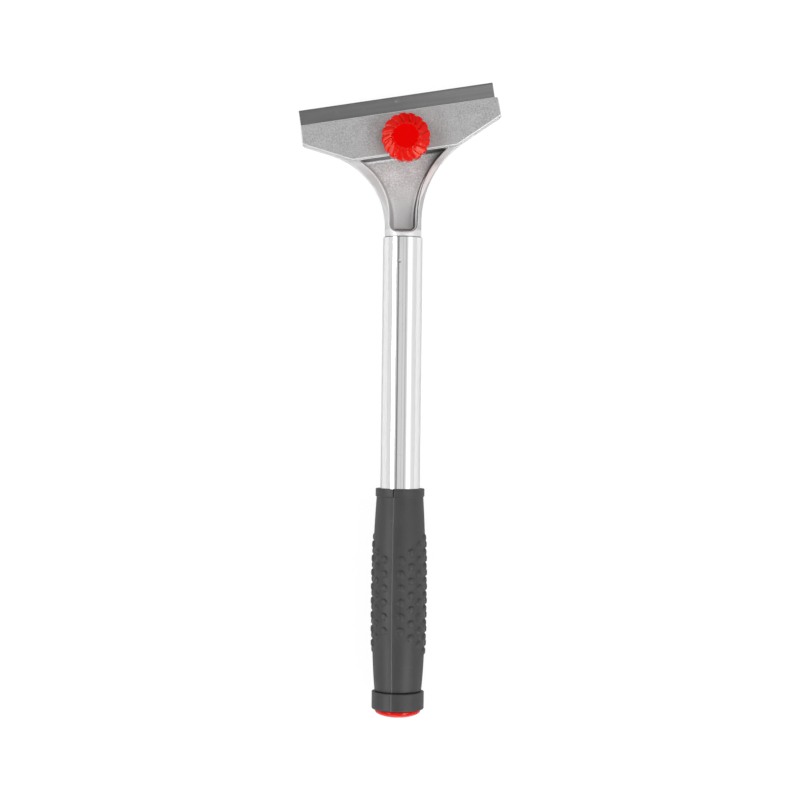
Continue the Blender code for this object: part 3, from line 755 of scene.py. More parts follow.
def make_plate(finish):
    """The clamp plate, with its two pegs and the screw's hole."""
    outline = rounded(plate_corners(), PLATE_CORNER, 8)
    plate = slab(outline, PLATE_UNDERSIDE, PLATE_FACE, PLATE_FOOT_ROUND, PLATE_EDGE_ROUND)
    body = body_of("fine_clamp_plate", plate)
    for middle in peg_places():
        tip = PLATE_UNDERSIDE - PEG_LENGTH
        combine(body, "UNION", prism(circle(PEG_RADIUS, middle, 48), tip, PLATE_UNDERSIDE + PLATE_EDGE_ROUND))
    hole = prism(circle(CLEAR_HOLE, SCREW_AXIS), PLATE_UNDERSIDE - OVERRUN, PLATE_FACE + OVERRUN)
    combine(body, "DIFFERENCE", hole)
    # Rubbed edges, painted brighter as a highlight along them
    rubbed_edge_highlight = body.data.attributes.new("rubbed_edge_highlight", "FLOAT", "POINT").data
    for vertex in body.data.vertices:
        at_edge = vertex.normal.z < 0.93 and (vertex.co.xy - Vector(SCREW_AXIS)).length > WASHER_RADIUS
        rubbed_edge_highlight[vertex.index].value = 1.0 if at_edge and vertex.co.z > PLATE_UNDERSIDE + GAP else 0.0
    body.data.transform(HEAD)
    finished(body, finish, "clamp", 25)


def make_blade(finish):
    """The flat blade, ground on both faces to its edge, with a small punched mark."""
    low = GAP
    high = GAP + BLADE_THICKNESS
    middle = (low + high) / 2
    half = BLADE_LENGTH / 2
    inner = half - BLADE_BREAK
    rings = []
    for along, inset in ((-half, BLADE_BREAK), (-inner, 0), (inner, 0), (half, BLADE_BREAK)):
        section = [
            (BLADE_REAR + inset, low + BLADE_BREAK + inset),
            (BLADE_REAR + BLADE_BREAK + inset, low + inset),
            (BLADE_TIP - BLADE_GRIND, low + inset),
            (BLADE_TIP - inset, middle - BLADE_EDGE / 2),
            (BLADE_TIP - inset, middle + BLADE_EDGE / 2),
            (BLADE_TIP - BLADE_GRIND, high - inset),
            (BLADE_REAR + BLADE_BREAK + inset, high - inset),
            (BLADE_REAR + inset, high - BLADE_BREAK - inset),
        ]
        rings.append([Vector((BLADE_MIDDLE + along, w, n)) for w, n in section])
    body = body_of("fine_blade", lofted(rings))
    ball = bmesh.new()
    radius = (MARK_RADIUS**2 + MARK_DEPTH**2) / (2 * MARK_DEPTH)
    bmesh.ops.create_uvsphere(ball, u_segments=96, v_segments=96, radius=radius)
    ball.transform(Matrix.Translation((*MARK_PLACE, high - MARK_DEPTH + radius)))
    combine(body, "DIFFERENCE", ball)
    body.data.transform(HEAD)
    finished(body, finish, "blade", 8)


# Screw, washer and knob


def make_washer(finish):
    inner = WASHER_RADIUS - WASHER_CHAMFER
    levels = (WASHER_BASE, WASHER_BASE + WASHER_CHAMFER, WASHER_TOP - WASHER_CHAMFER, WASHER_TOP)
    rings = [at_height(circle(CLEAR_HOLE), WASHER_BASE)]
    for radius, level in zip((inner, WASHER_RADIUS, WASHER_RADIUS, inner), levels):
        rings.append(at_height(circle(radius), level))
    rings += [at_height(circle(CLEAR_HOLE), WASHER_TOP), rings[0]]
    body = body_of("fine_knob_washer", in_frame(cleaned(lofted(rings, closed_ends=False)), SCREW))
    finished(body, finish, "clamp", 25)


def thread_ring(level, segments=48):
    """One level of the right-hand thread: crests and roots climb once round for each pitch."""
    ring = []
    for step, turn in enumerate(even_turns(segments)):
        phase = (level / THREAD_PITCH - step / segments) % 1.0
        crest = clamped(THREAD_CREST - THREAD_FLANK * abs(phase - 0.5))
        fade = eased((THREAD_TOP - level) / THREAD_PITCH)
        radius = SCREW_RADIUS - THREAD_DEPTH * (1 - crest) * fade
        radius = min(radius, SCREW_RADIUS - SCREW_CHAMFER + level - SCREW_TIP)
        ring.append(Vector((radius * math.cos(turn), radius * math.sin(turn), level)))
    return ring


def make_screw(finish):
    """Threaded shank, and the six-sided head that is pressed into the knob."""
    count = round((THREAD_TOP - SCREW_TIP) / THREAD_PITCH * 16)
    rings = [thread_ring(level) for level in evenly(SCREW_TIP, THREAD_TOP, count)]
    rings.append(at_height(circle(SCREW_RADIUS, segments=48), KNOB_BASE + SCREW_HEAD_HEIGHT / 2))
    body = body_of("fine_clamp_screw", lofted(rings))
    hexagon = circle(SCREW_FLATS / 2 / math.cos(math.radians(30)), segments=6)
    combine(body, "UNION", prism(hexagon, KNOB_BASE, KNOB_BASE + SCREW_HEAD_HEIGHT))
    body.data.transform(SCREW)
    finished(body, finish, "knob", 30)


def groove_shape():
    """Half a lobe, from the middle of a groove to the lobe's: share along, groove depth, crown drop."""
    shape = [(share, 1.0, 1.0) for share in evenly(0, KNOB_FLOOR_SHARE, 2)]
    for step, share in enumerate(evenly(KNOB_FLOOR_SHARE, KNOB_WALL_SHARE, 5)[1:], 1):
        shape.append((share, 1 - eased(step / 5), 1.0))
    for step, share in enumerate(evenly(KNOB_WALL_SHARE, 0.5, 6)[1:], 1):
        shape.append((share, 0.0, (1 - step / 6) ** 2))
    return shape


def knob_ring(radius, height, groove, turn):
    """One ring of the knob: broad lobes with a narrow flat groove between each two."""
    half = groove_shape()
    whole = half + [(1 - share, depth, crown) for share, depth, crown in reversed(half[1:-1])]
    ring = []
    for lobe in range(KNOB_LOBES):
        for share, depth, crown in whole:
            reach = radius - groove * depth - min(KNOB_CROWN, groove) * crown
            angle = math.tau * (lobe + share - 0.5) / KNOB_LOBES + turn
            ring.append(Vector((reach * math.cos(angle), reach * math.sin(angle), height)))
    return ring


def make_knob(finish):
    """A knob with twisted grooves that run out below its smooth face."""
    skirt_top = KNOB_BASE + KNOB_SKIRT
    face = skirt_top + KNOB_SLOPE
    shoulder = face - KNOB_SHOULDER_DROP
    skirt = [(KNOB_RADIUS - 2 * KNOB_BASE_ROUND, KNOB_BASE)]
    for sine, cosine in quarter(5):
        skirt.append((KNOB_RADIUS - KNOB_BASE_ROUND * (1 - sine), KNOB_BASE + KNOB_BASE_ROUND * (1 - cosine)))
    skirt.append((KNOB_RADIUS, skirt_top - KNOB_SKIRT_ROUND))
    rings = [knob_ring(radius, height, KNOB_SKIRT_GROOVE, 0) for radius, height in skirt]
    narrowing = (KNOB_SHOULDER_RADIUS - KNOB_RADIUS) / (shoulder - skirt_top)
    for share in evenly(KNOB_SLOPE_START, 1, 24):
        rise = (shoulder - skirt_top) * share
        rounding = KNOB_SKIRT_ROUND / 4 * math.exp(-rise / (KNOB_SKIRT_ROUND / 2))
        radius = KNOB_RADIUS + narrowing * rise - rounding
        groove = KNOB_SKIRT_GROOVE + (KNOB_GROOVE - KNOB_SKIRT_GROOVE) * share
        rings.append(knob_ring(radius, skirt_top + rise, groove, KNOB_TWIST * share))
    for share in evenly(0, 1, 10)[1:]:
        radius = KNOB_SHOULDER_RADIUS + (KNOB_FACE_RADIUS - KNOB_SHOULDER_RADIUS) * share
        height = shoulder + KNOB_SHOULDER_DROP * (1 - (1 - share) ** 2)
        rings.append(knob_ring(radius, height, KNOB_GROOVE * (1 - eased(share)), KNOB_TWIST))
    rings.append(knob_ring(KNOB_FACE_RADIUS - 2 * GAP, face, 0, KNOB_TWIST))
    body = body_of("fine_clamp_knob", lofted(rings))
    pocket = circle((SCREW_FLATS / 2 + GAP) / math.cos(math.radians(30)), segments=6)
    combine(body, "DIFFERENCE", prism(pocket, KNOB_BASE - OVERRUN, KNOB_BASE + SCREW_HEAD_HEIGHT + GAP))
    body.data.transform(SCREW)
    finished(body, finish, "knob", 38)


# Handle


def turned_field(rows, turns, radius_at):
    """Rings round Y; radius_at(along, turn) gives the radius, along counted backwards from the head."""
    rings = []
    for along in rows:
        ring = []
        for turn in turns:
            radius = radius_at(along, turn)
            ring.append(Vector((radius * math.sin(turn), -along, radius * math.cos(turn))))
        rings.append(ring)
    return rings


def dent_depth(along, turn):
    """Depth of the punched dent, which lies on the front of the tube."""
    around = TUBE_RADIUS * turn_between(turn, DENT_TURN)
    away = math.hypot(around, along - TUBE_START - DENT_FROM_END) / DENT_REACH
    return DENT_DEPTH * (1 - away * away) ** 2 if away < 1 else 0.0


def make_tube(finish):
    """The steel tube, of one wall thickness also where it is dented."""
    dent = TUBE_START + DENT_FROM_END
    start = TUBE_START + TUBE_SHORTER
    rows = spaced(dent - DENT_REACH, dent + DENT_REACH, DENT_PITCH)
    rows += spaced(dent + 2 * DENT_REACH, TUBE_END - TUBE_LIP, TUBE_PITCH)
    turns = even_turns(288)

    def skin(rows, radius):
        return turned_field(rows, turns, lambda along, turn: radius - dent_depth(along, turn))

    front, back = skin((start, TUBE_END), TUBE_RADIUS - TUBE_LIP)
    outside = skin([start + TUBE_LIP, *rows], TUBE_RADIUS)
    inside = skin([start, *rows[:-1], TUBE_END], TUBE_BORE)
    mesh = lofted([front, *outside, back, *reversed(inside), front], closed_ends=False)
    body = body_of("fine_handle_tube", in_frame(cleaned(mesh), HANDLE))
    finished(body, finish, "handle", 30)


def barrel_radius(along):
    """Radius of the grip's barrel at this distance behind its front flange."""
    share = clamped(along / (GRIP_LENGTH - FLANGE_LENGTH - GRIP_COLLAR))
    if share < GRIP_BELLY_SHARE:
        fall = (1 - share / GRIP_BELLY_SHARE) ** 2
    else:
        fall = ((share - GRIP_BELLY_SHARE) / (1 - GRIP_BELLY_SHARE)) ** 3
    return WAIST_RADIUS + GRIP_SWELL * (1 - fall)


def corner_round(edge, radius):
    """How far a rounded corner falls away at this distance from the end that it rounds."""
    return radius - math.sqrt(radius**2 - (radius - edge) ** 2) if edge < radius else 0.0


def grip_radius(along):
    """The grip's turned outline: flange, barrel and end collar, at this distance from its front end."""
    collar_start = GRIP_LENGTH - GRIP_COLLAR
    if along <= FLANGE_LENGTH - FLANGE_RISE / 2:
        return WAIST_RADIUS + FLANGE_RISE - corner_round(along, FLANGE_EDGE)
    if along < collar_start:
        step_down = FLANGE_RISE * (1 - eased((along - FLANGE_LENGTH) / FLANGE_RISE + 0.5))
        crease = CREASE * math.exp(-((along - collar_start) / CREASE) ** 2)
        return barrel_radius(along - FLANGE_LENGTH) + step_down - crease
    fall = corner_round(along - collar_start, GRIP_EDGE / 2) + corner_round(GRIP_LENGTH - along, GRIP_EDGE)
    return WAIST_RADIUS + COLLAR_RISE - fall


def bump_places():
    """Distance from the grip's front end and turn from the front of each bump."""
    column_step = (math.pi - 2 * SEAM_CLEAR) / (COLUMNS_PER_SIDE - 1)
    middle_column = (COLUMNS_PER_SIDE - 1) // 2
    places = []
    for side in (-1, 1):
        for column in range(COLUMNS_PER_SIDE):
            count = BUMPS_IN_LONGEST - abs(column - middle_column)
            turn = -SEAM_TURN + side * (SEAM_CLEAR + column * column_step)
            for row in range(count):
                places.append((GRIP_LENGTH * BUMP_MIDDLE_SHARE + BUMP_PITCH * (row - (count - 1) / 2), turn))
    return places


def turn_between(turn, other):
    return (turn - other + math.pi) % math.tau - math.pi


def bump_rise(along, turn, bumps):
    """Height of the dome that a point of the barrel lies on, with a soft foot."""
    rise = 0.0
    for bump_along, bump_turn in bumps:
        away = along - bump_along
        if abs(away) < BUMP_RADIUS:
            around = turn_between(turn, bump_turn) * barrel_radius(along - FLANGE_LENGTH)
            reach = (away * away + around * around) / BUMP_RADIUS**2
            if reach < 1:
                dome = (BUMP_HEIGHT + BUMP_SINK) * math.sqrt(1 - reach**BUMP_FULLNESS) - BUMP_SINK
                rise = max(rise, (dome + math.hypot(dome, BUMP_FOOT)) / 2)
    return rise


def seam_rise(along, turn):
    """The mould's parting ridge, which is a narrow slit across the flange and a line on the collar."""
    away = abs(turn_between(turn, -SEAM_TURN)) * WAIST_RADIUS
    if along < FLANGE_LENGTH:
        return -SLIT_DEPTH * (1 - eased((away - SLIT_WIDTH / 2) / (SLIT_WIDTH / 2)))
    if along > GRIP_LENGTH - GRIP_COLLAR:
        return -SLIT_DEPTH / 4 * (1 - eased((away - SLIT_WIDTH / 2) / (SLIT_WIDTH / 2)))
    return SEAM_HEIGHT * (1 - eased(away / SEAM_WIDTH))


def grip_turns():
    """Turns round the grip, closer together beside the mould seam."""
    near = 4 * SEAM_WIDTH / WAIST_RADIUS
    fine = [near * step / 12 - SEAM_TURN for step in range(-12, 13)]
    rest = [turn - SEAM_TURN for turn in spaced(near, math.tau - near, math.tau / 330)[1:-1]]
    return fine + rest


def paint_seam(body):
    """Marks the mould seam, which is painted paler than the rubber."""
    into_handle = HANDLE.inverted()
    seam = body.data.attributes.new("seam", "FLOAT", "POINT").data
    for vertex in body.data.vertices:
        place = into_handle @ vertex.co
        away = abs(turn_between(math.atan2(place.x, place.z), -SEAM_TURN)) * WAIST_RADIUS
        seam[vertex.index].value = 1 - eased(away / (1.5 * SEAM_WIDTH))


def row_run(start, *stretches):
    """Rows from start on, over stretches that each have an end and a pitch."""
    rows = [start]
    for end, pitch in stretches:
        rows += spaced(start, end, pitch)[1:]
        start = end
    return rows


def make_grip(finish):
    """The rubber sleeve, with its rows of bumps and its mould seam."""
    bumps = bump_places()
    first = min(along for along, turn in bumps) - BUMP_RADIUS
    last = max(along for along, turn in bumps) + BUMP_RADIUS
    collar = GRIP_LENGTH - GRIP_COLLAR
    barrel = (
        (FLANGE_EDGE, 0.00008),
        (FLANGE_LENGTH - FLANGE_RISE, 0.0008),
        (FLANGE_LENGTH + FLANGE_RISE, 0.0001),
        (first, 0.001),
        (last, 0.00028),
        (collar - 0.001, 0.001),
        (collar - 0.00001, 0.0001),
    )
    end_collar = ((collar + GRIP_EDGE, 0.0001), (GRIP_LENGTH - GRIP_EDGE, 0.001), (GRIP_LENGTH, 0.00015))
    turns = grip_turns()

    def radius_at(along, turn):
        near = [bump for bump in bumps if abs(bump[0] - along) < BUMP_RADIUS] if first < along < last else []
        return grip_radius(along) + bump_rise(along, turn, near) + seam_rise(along, turn)

    outside = turned_field(row_run(0.0, *barrel) + row_run(collar, *end_collar), turns, radius_at)
    bore = turned_field([GRIP_LENGTH, 0], turns, lambda along, turn: GRIP_BORE)
    mesh = lofted([*outside, *bore, outside[0]], closed_ends=False)
    mesh = in_frame(cleaned(mesh), HANDLE @ Matrix.Translation((0, -GRIP_FRONT, 0)))
    body = body_of("fine_grip", mesh)
    paint_seam(body)
    finished(body, finish, "handle", 50)


def make_cap(finish):
    """Domed end cap with a rounded rim; its hollow spigot sits in the tube."""
    seat = -GRIP_FRONT - GRIP_LENGTH - GAP
    spigot = TUBE_BORE - GAP
    dome = CAP_HEIGHT - GAP - CAP_RIM
    profile = [
        (0, seat + CAP_WALL),
        (spigot - CAP_WALL, seat + CAP_WALL),
        (spigot - CAP_WALL, seat + CAP_SPIGOT),
        (spigot - CAP_EDGE, seat + CAP_SPIGOT),
        (spigot, seat + CAP_SPIGOT - CAP_EDGE),
        (spigot, seat),
        (CAP_RADIUS - 2 * CAP_EDGE, seat),
    ]
    for sine, cosine in quarter(5):
        profile.append((CAP_RADIUS - CAP_EDGE * (1 - sine), seat - CAP_EDGE * (1 - cosine)))
    for sine, cosine in quarter(32)[:-1]:
        profile.append((CAP_RADIUS * cosine, seat - (CAP_RIM + dome * sine)))
    profile.append((0, seat - (CAP_RIM + dome)))
    body = body_of("fine_end_cap", in_frame(turned(profile, 160), HANDLE))
    finished(body, finish, "handle", 40)


# Effects that several finishes share


class Nodes:
    """A node tree under construction; out holds the sockets that it gives its results to."""

    def __init__(self, tree, out=None):
        self.tree = tree
        self.out = out

    def feed(self, socket, value):
        if isinstance(value, bpy.types.NodeSocket):
            self.tree.links.new(value, socket)
        else:
            socket.default_value = value

    def give(self, name, value):
        self.feed(self.out[name], value)

    def add(self, kind, inputs=None, **settings):
        node = self.tree.nodes.new(kind)
        for name, value in settings.items():
            setattr(node, name, value)
        for name, value in (inputs or {}).items():
            self.feed(node.inputs[name], value)
        return node

    def math(self, operation, *values):
        node = self.add("ShaderNodeMath", operation=operation)
        for socket, value in zip(node.inputs, values):
            self.feed(socket, value)
        return node.outputs[0]

    def times(self, first, second):
        return self.math("MULTIPLY", first, second)

    def total(self, start, *terms):
        """Start plus every value times its weight."""
        for value, weight in terms:
            start = self.math("ADD", start, self.times(value, weight))
        return start

    def away(self, value, middle):
        return self.math("ABSOLUTE", self.math("SUBTRACT", value, middle))

    def spread(self, value, low, high, to_low=0.0, to_high=1.0):
        inputs = {"Value": value, "From Min": low, "From Max": high, "To Min": to_low, "To Max": to_high}
        return self.add("ShaderNodeMapRange", inputs, interpolation_type="SMOOTHSTEP").outputs[0]

    def blend(self, share, first, second):
        node = self.add("ShaderNodeMix", data_type="RGBA")
        for socket, value in zip((node.inputs[0], node.inputs[6], node.inputs[7]), (share, first, second)):
            self.feed(socket, value)
        return node.outputs[2]

    def layered(self, colour, *layers):
        """The colour with others laid over it in turn, each by its share."""
        for share, over in layers:
            colour = self.blend(share, colour, over)
        return colour

    def noise(self, vector, scale, detail=2.0, roughness=0.5):
        inputs = {"Vector": vector, "Scale": scale, "Detail": detail, "Roughness": roughness}
        return self.add("ShaderNodeTexNoise", inputs).outputs[0]

    def place(self):
        return self.add("ShaderNodeTexCoord").outputs["Object"]

    def parts(self, vector):
        return self.add("ShaderNodeSeparateXYZ", {"Vector": vector}).outputs

    def painted(self, name):
        """The mask of this name that is painted on the mesh."""
        return self.add("ShaderNodeAttribute", attribute_name=name).outputs["Fac"]

    def use(self, group, **inputs):
        return self.add("ShaderNodeGroup", inputs, node_tree=group).outputs

    def bump(self, height, distance):
        inputs = {"Height": height, "Distance": distance, "Strength": 1.0}
        self.give("Normal", self.add("ShaderNodeBump", inputs).outputs[0])

    def seen(self):
        return self.add("ShaderNodeLightPath").outputs["Is Camera Ray"]


def effect(name, inputs, outputs):
    """An empty node group with named value inputs and outputs."""
    group = bpy.data.node_groups.new(name, "ShaderNodeTree")
    for socket, value in inputs.items():
        made = group.interface.new_socket(socket, in_out="INPUT", socket_type="NodeSocketFloat")
        made.default_value = value
    for socket in outputs:
        group.interface.new_socket(socket, in_out="OUTPUT", socket_type="NodeSocketFloat")
    nodes = Nodes(group)
    nodes.out = nodes.add("NodeGroupOutput").inputs
    return group, nodes, nodes.add("NodeGroupInput").outputs


def sand_grain():
    """Grain that sand leaves on a casting, or that a blasted mould leaves on plastic and rubber."""
    group, nodes, given = effect("sand_grain", {"Grain": 2200.0}, ("Height", "Speckle"))
    place = nodes.place()
    coarse = nodes.noise(place, given["Grain"], 3.0, 0.6)
    fine = nodes.noise(place, nodes.times(given["Grain"], 2.7))
    patches = nodes.noise(place, nodes.times(given["Grain"], 0.12))
    nodes.give("Height", nodes.times(nodes.total(coarse, (fine, 0.5)), 0.667))
    specks = nodes.spread(coarse, 0.38, 0.64)
    nodes.give("Speckle", nodes.total(nodes.times(specks, 0.6), (patches, 0.4)))
    return group


def drawn_lines():
    """Fine lines left by drawing or grinding, along the object's Y axis once turned by Lean."""
    group, nodes, given = effect("drawn_lines", {"Lean": 0.0, "Fineness": 9000.0}, ("Height", "Shade"))
    turn = nodes.add("ShaderNodeVectorRotate", {"Vector": nodes.place(), "Angle": given["Lean"]})
    parts = nodes.parts(turn.outputs[0])
    stretched = {"X": parts["X"], "Y": nodes.times(parts["Y"], 0.012), "Z": parts["Z"]}
    line = nodes.add("ShaderNodeCombineXYZ", stretched).outputs[0]
    nodes.give("Height", nodes.noise(line, given["Fineness"], 3.0, 0.65))
    broad = nodes.noise(line, nodes.times(given["Fineness"], 0.11))
    nodes.give("Shade", nodes.spread(broad, 0.3, 0.7))
    return group


def handling_wear():
    """Faint smudges from hands, and short fine scratches."""
    group, nodes, given = effect("handling_wear", {"Scale": 60.0}, ("Smudge", "Scratch"))
    place = nodes.place()
    nodes.give("Smudge", nodes.spread(nodes.noise(place, given["Scale"], 4.0, 0.6), 0.4, 0.7))
    wave = {"Vector": place, "Scale": nodes.times(given["Scale"], 4.0)}
    wave.update({"Distortion": 14.0, "Detail": 2.0, "Detail Scale": 1.3})
    line = nodes.spread(nodes.add("ShaderNodeTexWave", wave).outputs["Fac"], 0.985, 1.0)
    where = nodes.spread(nodes.noise(place, nodes.times(given["Scale"], 3.0), 1.0), 0.58, 0.66)
    nodes.give("Scratch", nodes.times(line, where))
    return group


# Finishes


def finish_base(name, **settings):
    """A material whose shader has these values on its own sockets."""
    made = bpy.data.materials.new(name)
    made.use_nodes = True
    nodes = Nodes(made.node_tree, made.node_tree.nodes["Principled BSDF"].inputs)
    for socket, value in settings.items():
        nodes.give(socket.replace("_", " "), value)
    return made, nodes


def grey(level, warmth=0.0):
    return (level * (1 + warmth), level, level * (1 - warmth), 1.0)


def cast_metal(sand, wear):
    """Bright casting: sand-rough where it is sunk, satin on the rims, polished at the collar, with painted
    shade on the recess's walls and on the rim right of the neck, a painted highlight on its lip and painted
    light deep in it.
    """
    made, nodes = finish_base("bright_casting", Metallic=0.4, IOR=1.6)
    names = ("sand", "polish", "painted_shade", "painted_highlight", "deep_painted_light")
    sunk, polish, painted_shade, painted_highlight, deep_painted_light = (nodes.painted(name) for name in names)
    grain = nodes.use(sand, Grain=1300.0)
    marks = nodes.use(wear, Scale=70.0)
    # Painted shade: the rim right of the neck is painted darker
    inner = nodes.spread(nodes.away(nodes.parts(nodes.place())["X"], 0.013), 0.008, 0.003)
    rim = nodes.blend(marks["Smudge"], grey(0.64), grey(0.59))
    rim = nodes.blend(nodes.times(inner, 0.6), rim, grey(0.42))
    web = nodes.blend(grain["Speckle"], grey(0.54), grey(0.97))
    # Painted light: the floor deep in the recess is painted lighter
    web = nodes.blend(deep_painted_light, web, nodes.blend(grain["Speckle"], grey(0.92), grey(1.0)))
    # Painted shade on the recess's walls, beside its right wall and in the tube joint, and a painted
    # highlight on its lip
    layers = ((sunk, web), (polish, grey(0.74)), (nodes.times(painted_shade, 0.95), grey(0.05)), (painted_highlight, grey(0.96)))
    nodes.give("Base Color", nodes.layered(rim, *layers))
    rough = ((grain["Speckle"], 0.08), (sunk, -0.16), (painted_highlight, -0.08), (polish, -0.16))
    nodes.give("Roughness", nodes.total(0.60, *rough))
    nodes.give("Metallic", nodes.total(0.4, (polish, 0.2)))
    relief = nodes.times(grain["Height"], nodes.math("ADD", 0.25, sunk))
    nodes.bump(nodes.times(relief, nodes.math("SUBTRACT", 1.0, polish)), 0.00012)
    return made


def plate_metal(sand, wear):
    """Sand-textured plate with a few rubbed scratches, and rubbed edges that are painted brighter as a
    highlight.
    """
    made, nodes = finish_base("sandy_plate", Metallic=0.4, IOR=1.6)
    rubbed_edge_highlight = nodes.painted("rubbed_edge_highlight")
    grain = nodes.use(sand, Grain=1500.0)
    marks = nodes.use(wear, Scale=55.0)
    sandy = nodes.blend(grain["Speckle"], grey(0.27), grey(0.52))
    smudge = (nodes.times(marks["Smudge"], 0.25), grey(0.44))
    colour = nodes.layered(sandy, smudge, (marks["Scratch"], grey(0.70)), (rubbed_edge_highlight, grey(0.74)))
    nodes.give("Base Color", colour)
    rough = ((grain["Speckle"], 0.12), (rubbed_edge_highlight, -0.2), (marks["Scratch"], -0.2))
    nodes.give("Roughness", nodes.total(0.52, *rough))
    nodes.bump(grain["Height"], 0.00012)
    return made


def blade_steel(lines, wear):
    """Dark ground steel with lines along the blade, painted lighter towards its right end as a painted
    reflection.
    """
    made, nodes = finish_base("ground_steel", Metallic=1.0, IOR=2.0)
    ground = nodes.use(lines, Lean=math.radians(90) - HEAD_SKEW, Fineness=9000.0)
    marks = nodes.use(wear, Scale=90.0)
    # Painted reflection: the blade is painted lighter towards its right end
    painted_sheen = nodes.spread(nodes.parts(nodes.place())["X"], -0.05, 0.05)
    darker = nodes.blend(painted_sheen, grey(0.235), grey(0.295))
    lighter = nodes.blend(painted_sheen, grey(0.26), grey(0.33))
    colour = nodes.layered(darker, (ground["Shade"], lighter), (marks["Scratch"], grey(0.4)))
    nodes.give("Base Color", colour)
    nodes.give("Roughness", nodes.total(0.34, (ground["Height"], 0.12), (marks["Smudge"], 0.06)))
    nodes.bump(ground["Height"], 0.00001)
    return made


def chrome(lines, wear):
    """Bright tube: nearly a mirror, with faint drawing lines and smudges."""
    made, nodes = finish_base("bright_tube", Metallic=1.0, IOR=2.0)
    drawn = nodes.use(lines, Lean=0.0, Fineness=5000.0)
    marks = nodes.use(wear, Scale=45.0)
    colour = nodes.blend(drawn["Shade"], grey(0.93), grey(0.98))
    nodes.give("Base Color", nodes.blend(marks["Scratch"], colour, grey(0.8)))
    nodes.give("Roughness", nodes.total(0.05, (drawn["Height"], 0.05), (marks["Smudge"], 0.04)))
    nodes.bump(drawn["Height"], 0.000002)
    return made


def screw_steel(lines, wear):
    """Plain zinc-plated screw and washer."""
    made, nodes = finish_base("plated_steel", Metallic=1.0, IOR=2.0)
    cut = nodes.use(lines, Lean=math.radians(40), Fineness=7000.0)
    marks = nodes.use(wear, Scale=120.0)
    nodes.give("Base Color", nodes.blend(marks["Smudge"], grey(0.62), grey(0.5, 0.03)))
    nodes.give("Roughness", nodes.total(0.24, (cut["Shade"], 0.12)))
    nodes.bump(cut["Height"], 0.000005)
    return made


def red_plastic(sand, wear):
    """Glossy moulded plastic."""
    gloss = {"Specular_IOR_Level": 0.22, "Specular_Tint": (1.0, 1.0, 0.7, 1.0)}
    made, nodes = finish_base("red_plastic", Metallic=0.0, IOR=1.5, **gloss)
    grain = nodes.use(sand, Grain=900.0)
    marks = nodes.use(wear, Scale=80.0)
    colour = nodes.blend(marks["Smudge"], (0.69, 0.0004, 0.0003, 1.0), (0.65, 0.0004, 0.0003, 1.0))
    nodes.give("Base Color", nodes.blend(marks["Scratch"], colour, (0.8, 0.01, 0.01, 1.0)))
    nodes.give("Roughness", nodes.total(0.07, (marks["Smudge"], 0.05)))
    nodes.bump(grain["Height"], 0.000006)
    return made


def grip_rubber(sand, wear):
    """Satin dark rubber with a fine mould grain and a trace of dust."""
    made, nodes = finish_base("satin_rubber", Metallic=0.0, IOR=1.5, Specular_IOR_Level=0.5)
    grain = nodes.use(sand, Grain=3200.0)
    marks = nodes.use(wear, Scale=40.0)
    seam = nodes.painted("seam")
    rubber = nodes.blend(grain["Speckle"], (0.0297, 0.0288, 0.0303, 1.0), (0.0388, 0.0378, 0.0395, 1.0))
    dust = (nodes.times(marks["Smudge"], 0.25), grey(0.052, 0.02))
    layers = (dust, (nodes.times(seam, 0.8), grey(0.12)), (marks["Scratch"], grey(0.055)))
    nodes.give("Base Color", nodes.layered(rubber, *layers))
    nodes.give("Roughness", nodes.total(0.46, (marks["Smudge"], 0.10)))
    nodes.bump(grain["Height"], 0.00002)
    return made


# Studio: a white table, soft light all round and two long soft lights beside the camera
STUDIO_LEVEL = 0.68
SIDE_LEVEL = 0.74
# side angle from straight up, half width, soft edge, then the same three along +Y, level
SOFT_LIGHTS = (
    (-49.0, 7.0, 3.0, -5.0, 25.0, 12.0, 4.0),
    (42.0, 7.0, 6.0, -38.0, 16.0, 10.0, 7.0),
    (43.0, 6.0, 9.0, 5.0, 22.0, 10.0, 0.5),
    (52.0, 2.0, 16.0, 5.0, 22.0, 10.0, 0.25),
)
# the dark ceiling and the dark end of the room, given in the same way, with their depth as the level
DARK_PATCHES = ((0.0, 30.0, 12.0, 12.0, 4.0, 2.0, 0.95), (12.0, 30.0, 15.0, 62.0, 22.0, 10.0, 0.6))
# long dark flags: side angle, half width, soft edge and depth
DARK_FLAGS = ((-24.5, 3.5, 2.5, 0.66), (2.5, 1.0, 1.5, 0.24), (20.5, 1.5, 2.0, 0.34), (94.0, 2.0, 4.0, 0.28))
TABLE_HALF = 6.0
TABLE_GLOW = 1.08
TABLE_GLOW_SHARE = 0.85
KEY_PLACE = (0.42, 0.36, 0.95)
KEY_AIM = (0, 0.1, 0)
KEY_SIZE = 0.22
KEY_POWER = 0.6
CAMERA_PLACE = (0.0016069, -0.000892, 0.9993283)
CAMERA_ROLL = math.radians(0.663)
CAMERA_LENS = 87.3


def make_world():
    world = bpy.data.worlds.new("studio")
    world.use_nodes = True
    nodes = Nodes(world.node_tree, world.node_tree.nodes["Background"].inputs)
    parts = nodes.parts(nodes.add("ShaderNodeTexCoord").outputs["Generated"])
    aside = nodes.math("DEGREES", nodes.math("ARCTAN2", parts["X"], parts["Z"]))
    along = nodes.math("DEGREES", nodes.math("ARCSINE", parts["Y"]))

    def band(value, middle, half, soft):
        return nodes.spread(nodes.away(value, middle), half + soft, half)

    def patch(*sizes):
        return nodes.times(band(aside, *sizes[:3]), band(along, *sizes[3:]))

    level = nodes.spread(nodes.math("ABSOLUTE", aside), 25.0, 70.0, STUDIO_LEVEL, SIDE_LEVEL)
    for *sizes, depth in DARK_FLAGS:
        level = nodes.total(level, (band(aside, *sizes), -depth * STUDIO_LEVEL))
    for *sizes, depth in DARK_PATCHES:
        level = nodes.times(level, nodes.total(1.0, (patch(*sizes), -depth)))
    for *sizes, power in SOFT_LIGHTS:
        level = nodes.total(level, (patch(*sizes), power))
    nodes.give("Color", nodes.blend(nodes.seen(), level, grey(1.0)))
    bpy.context.scene.world = world


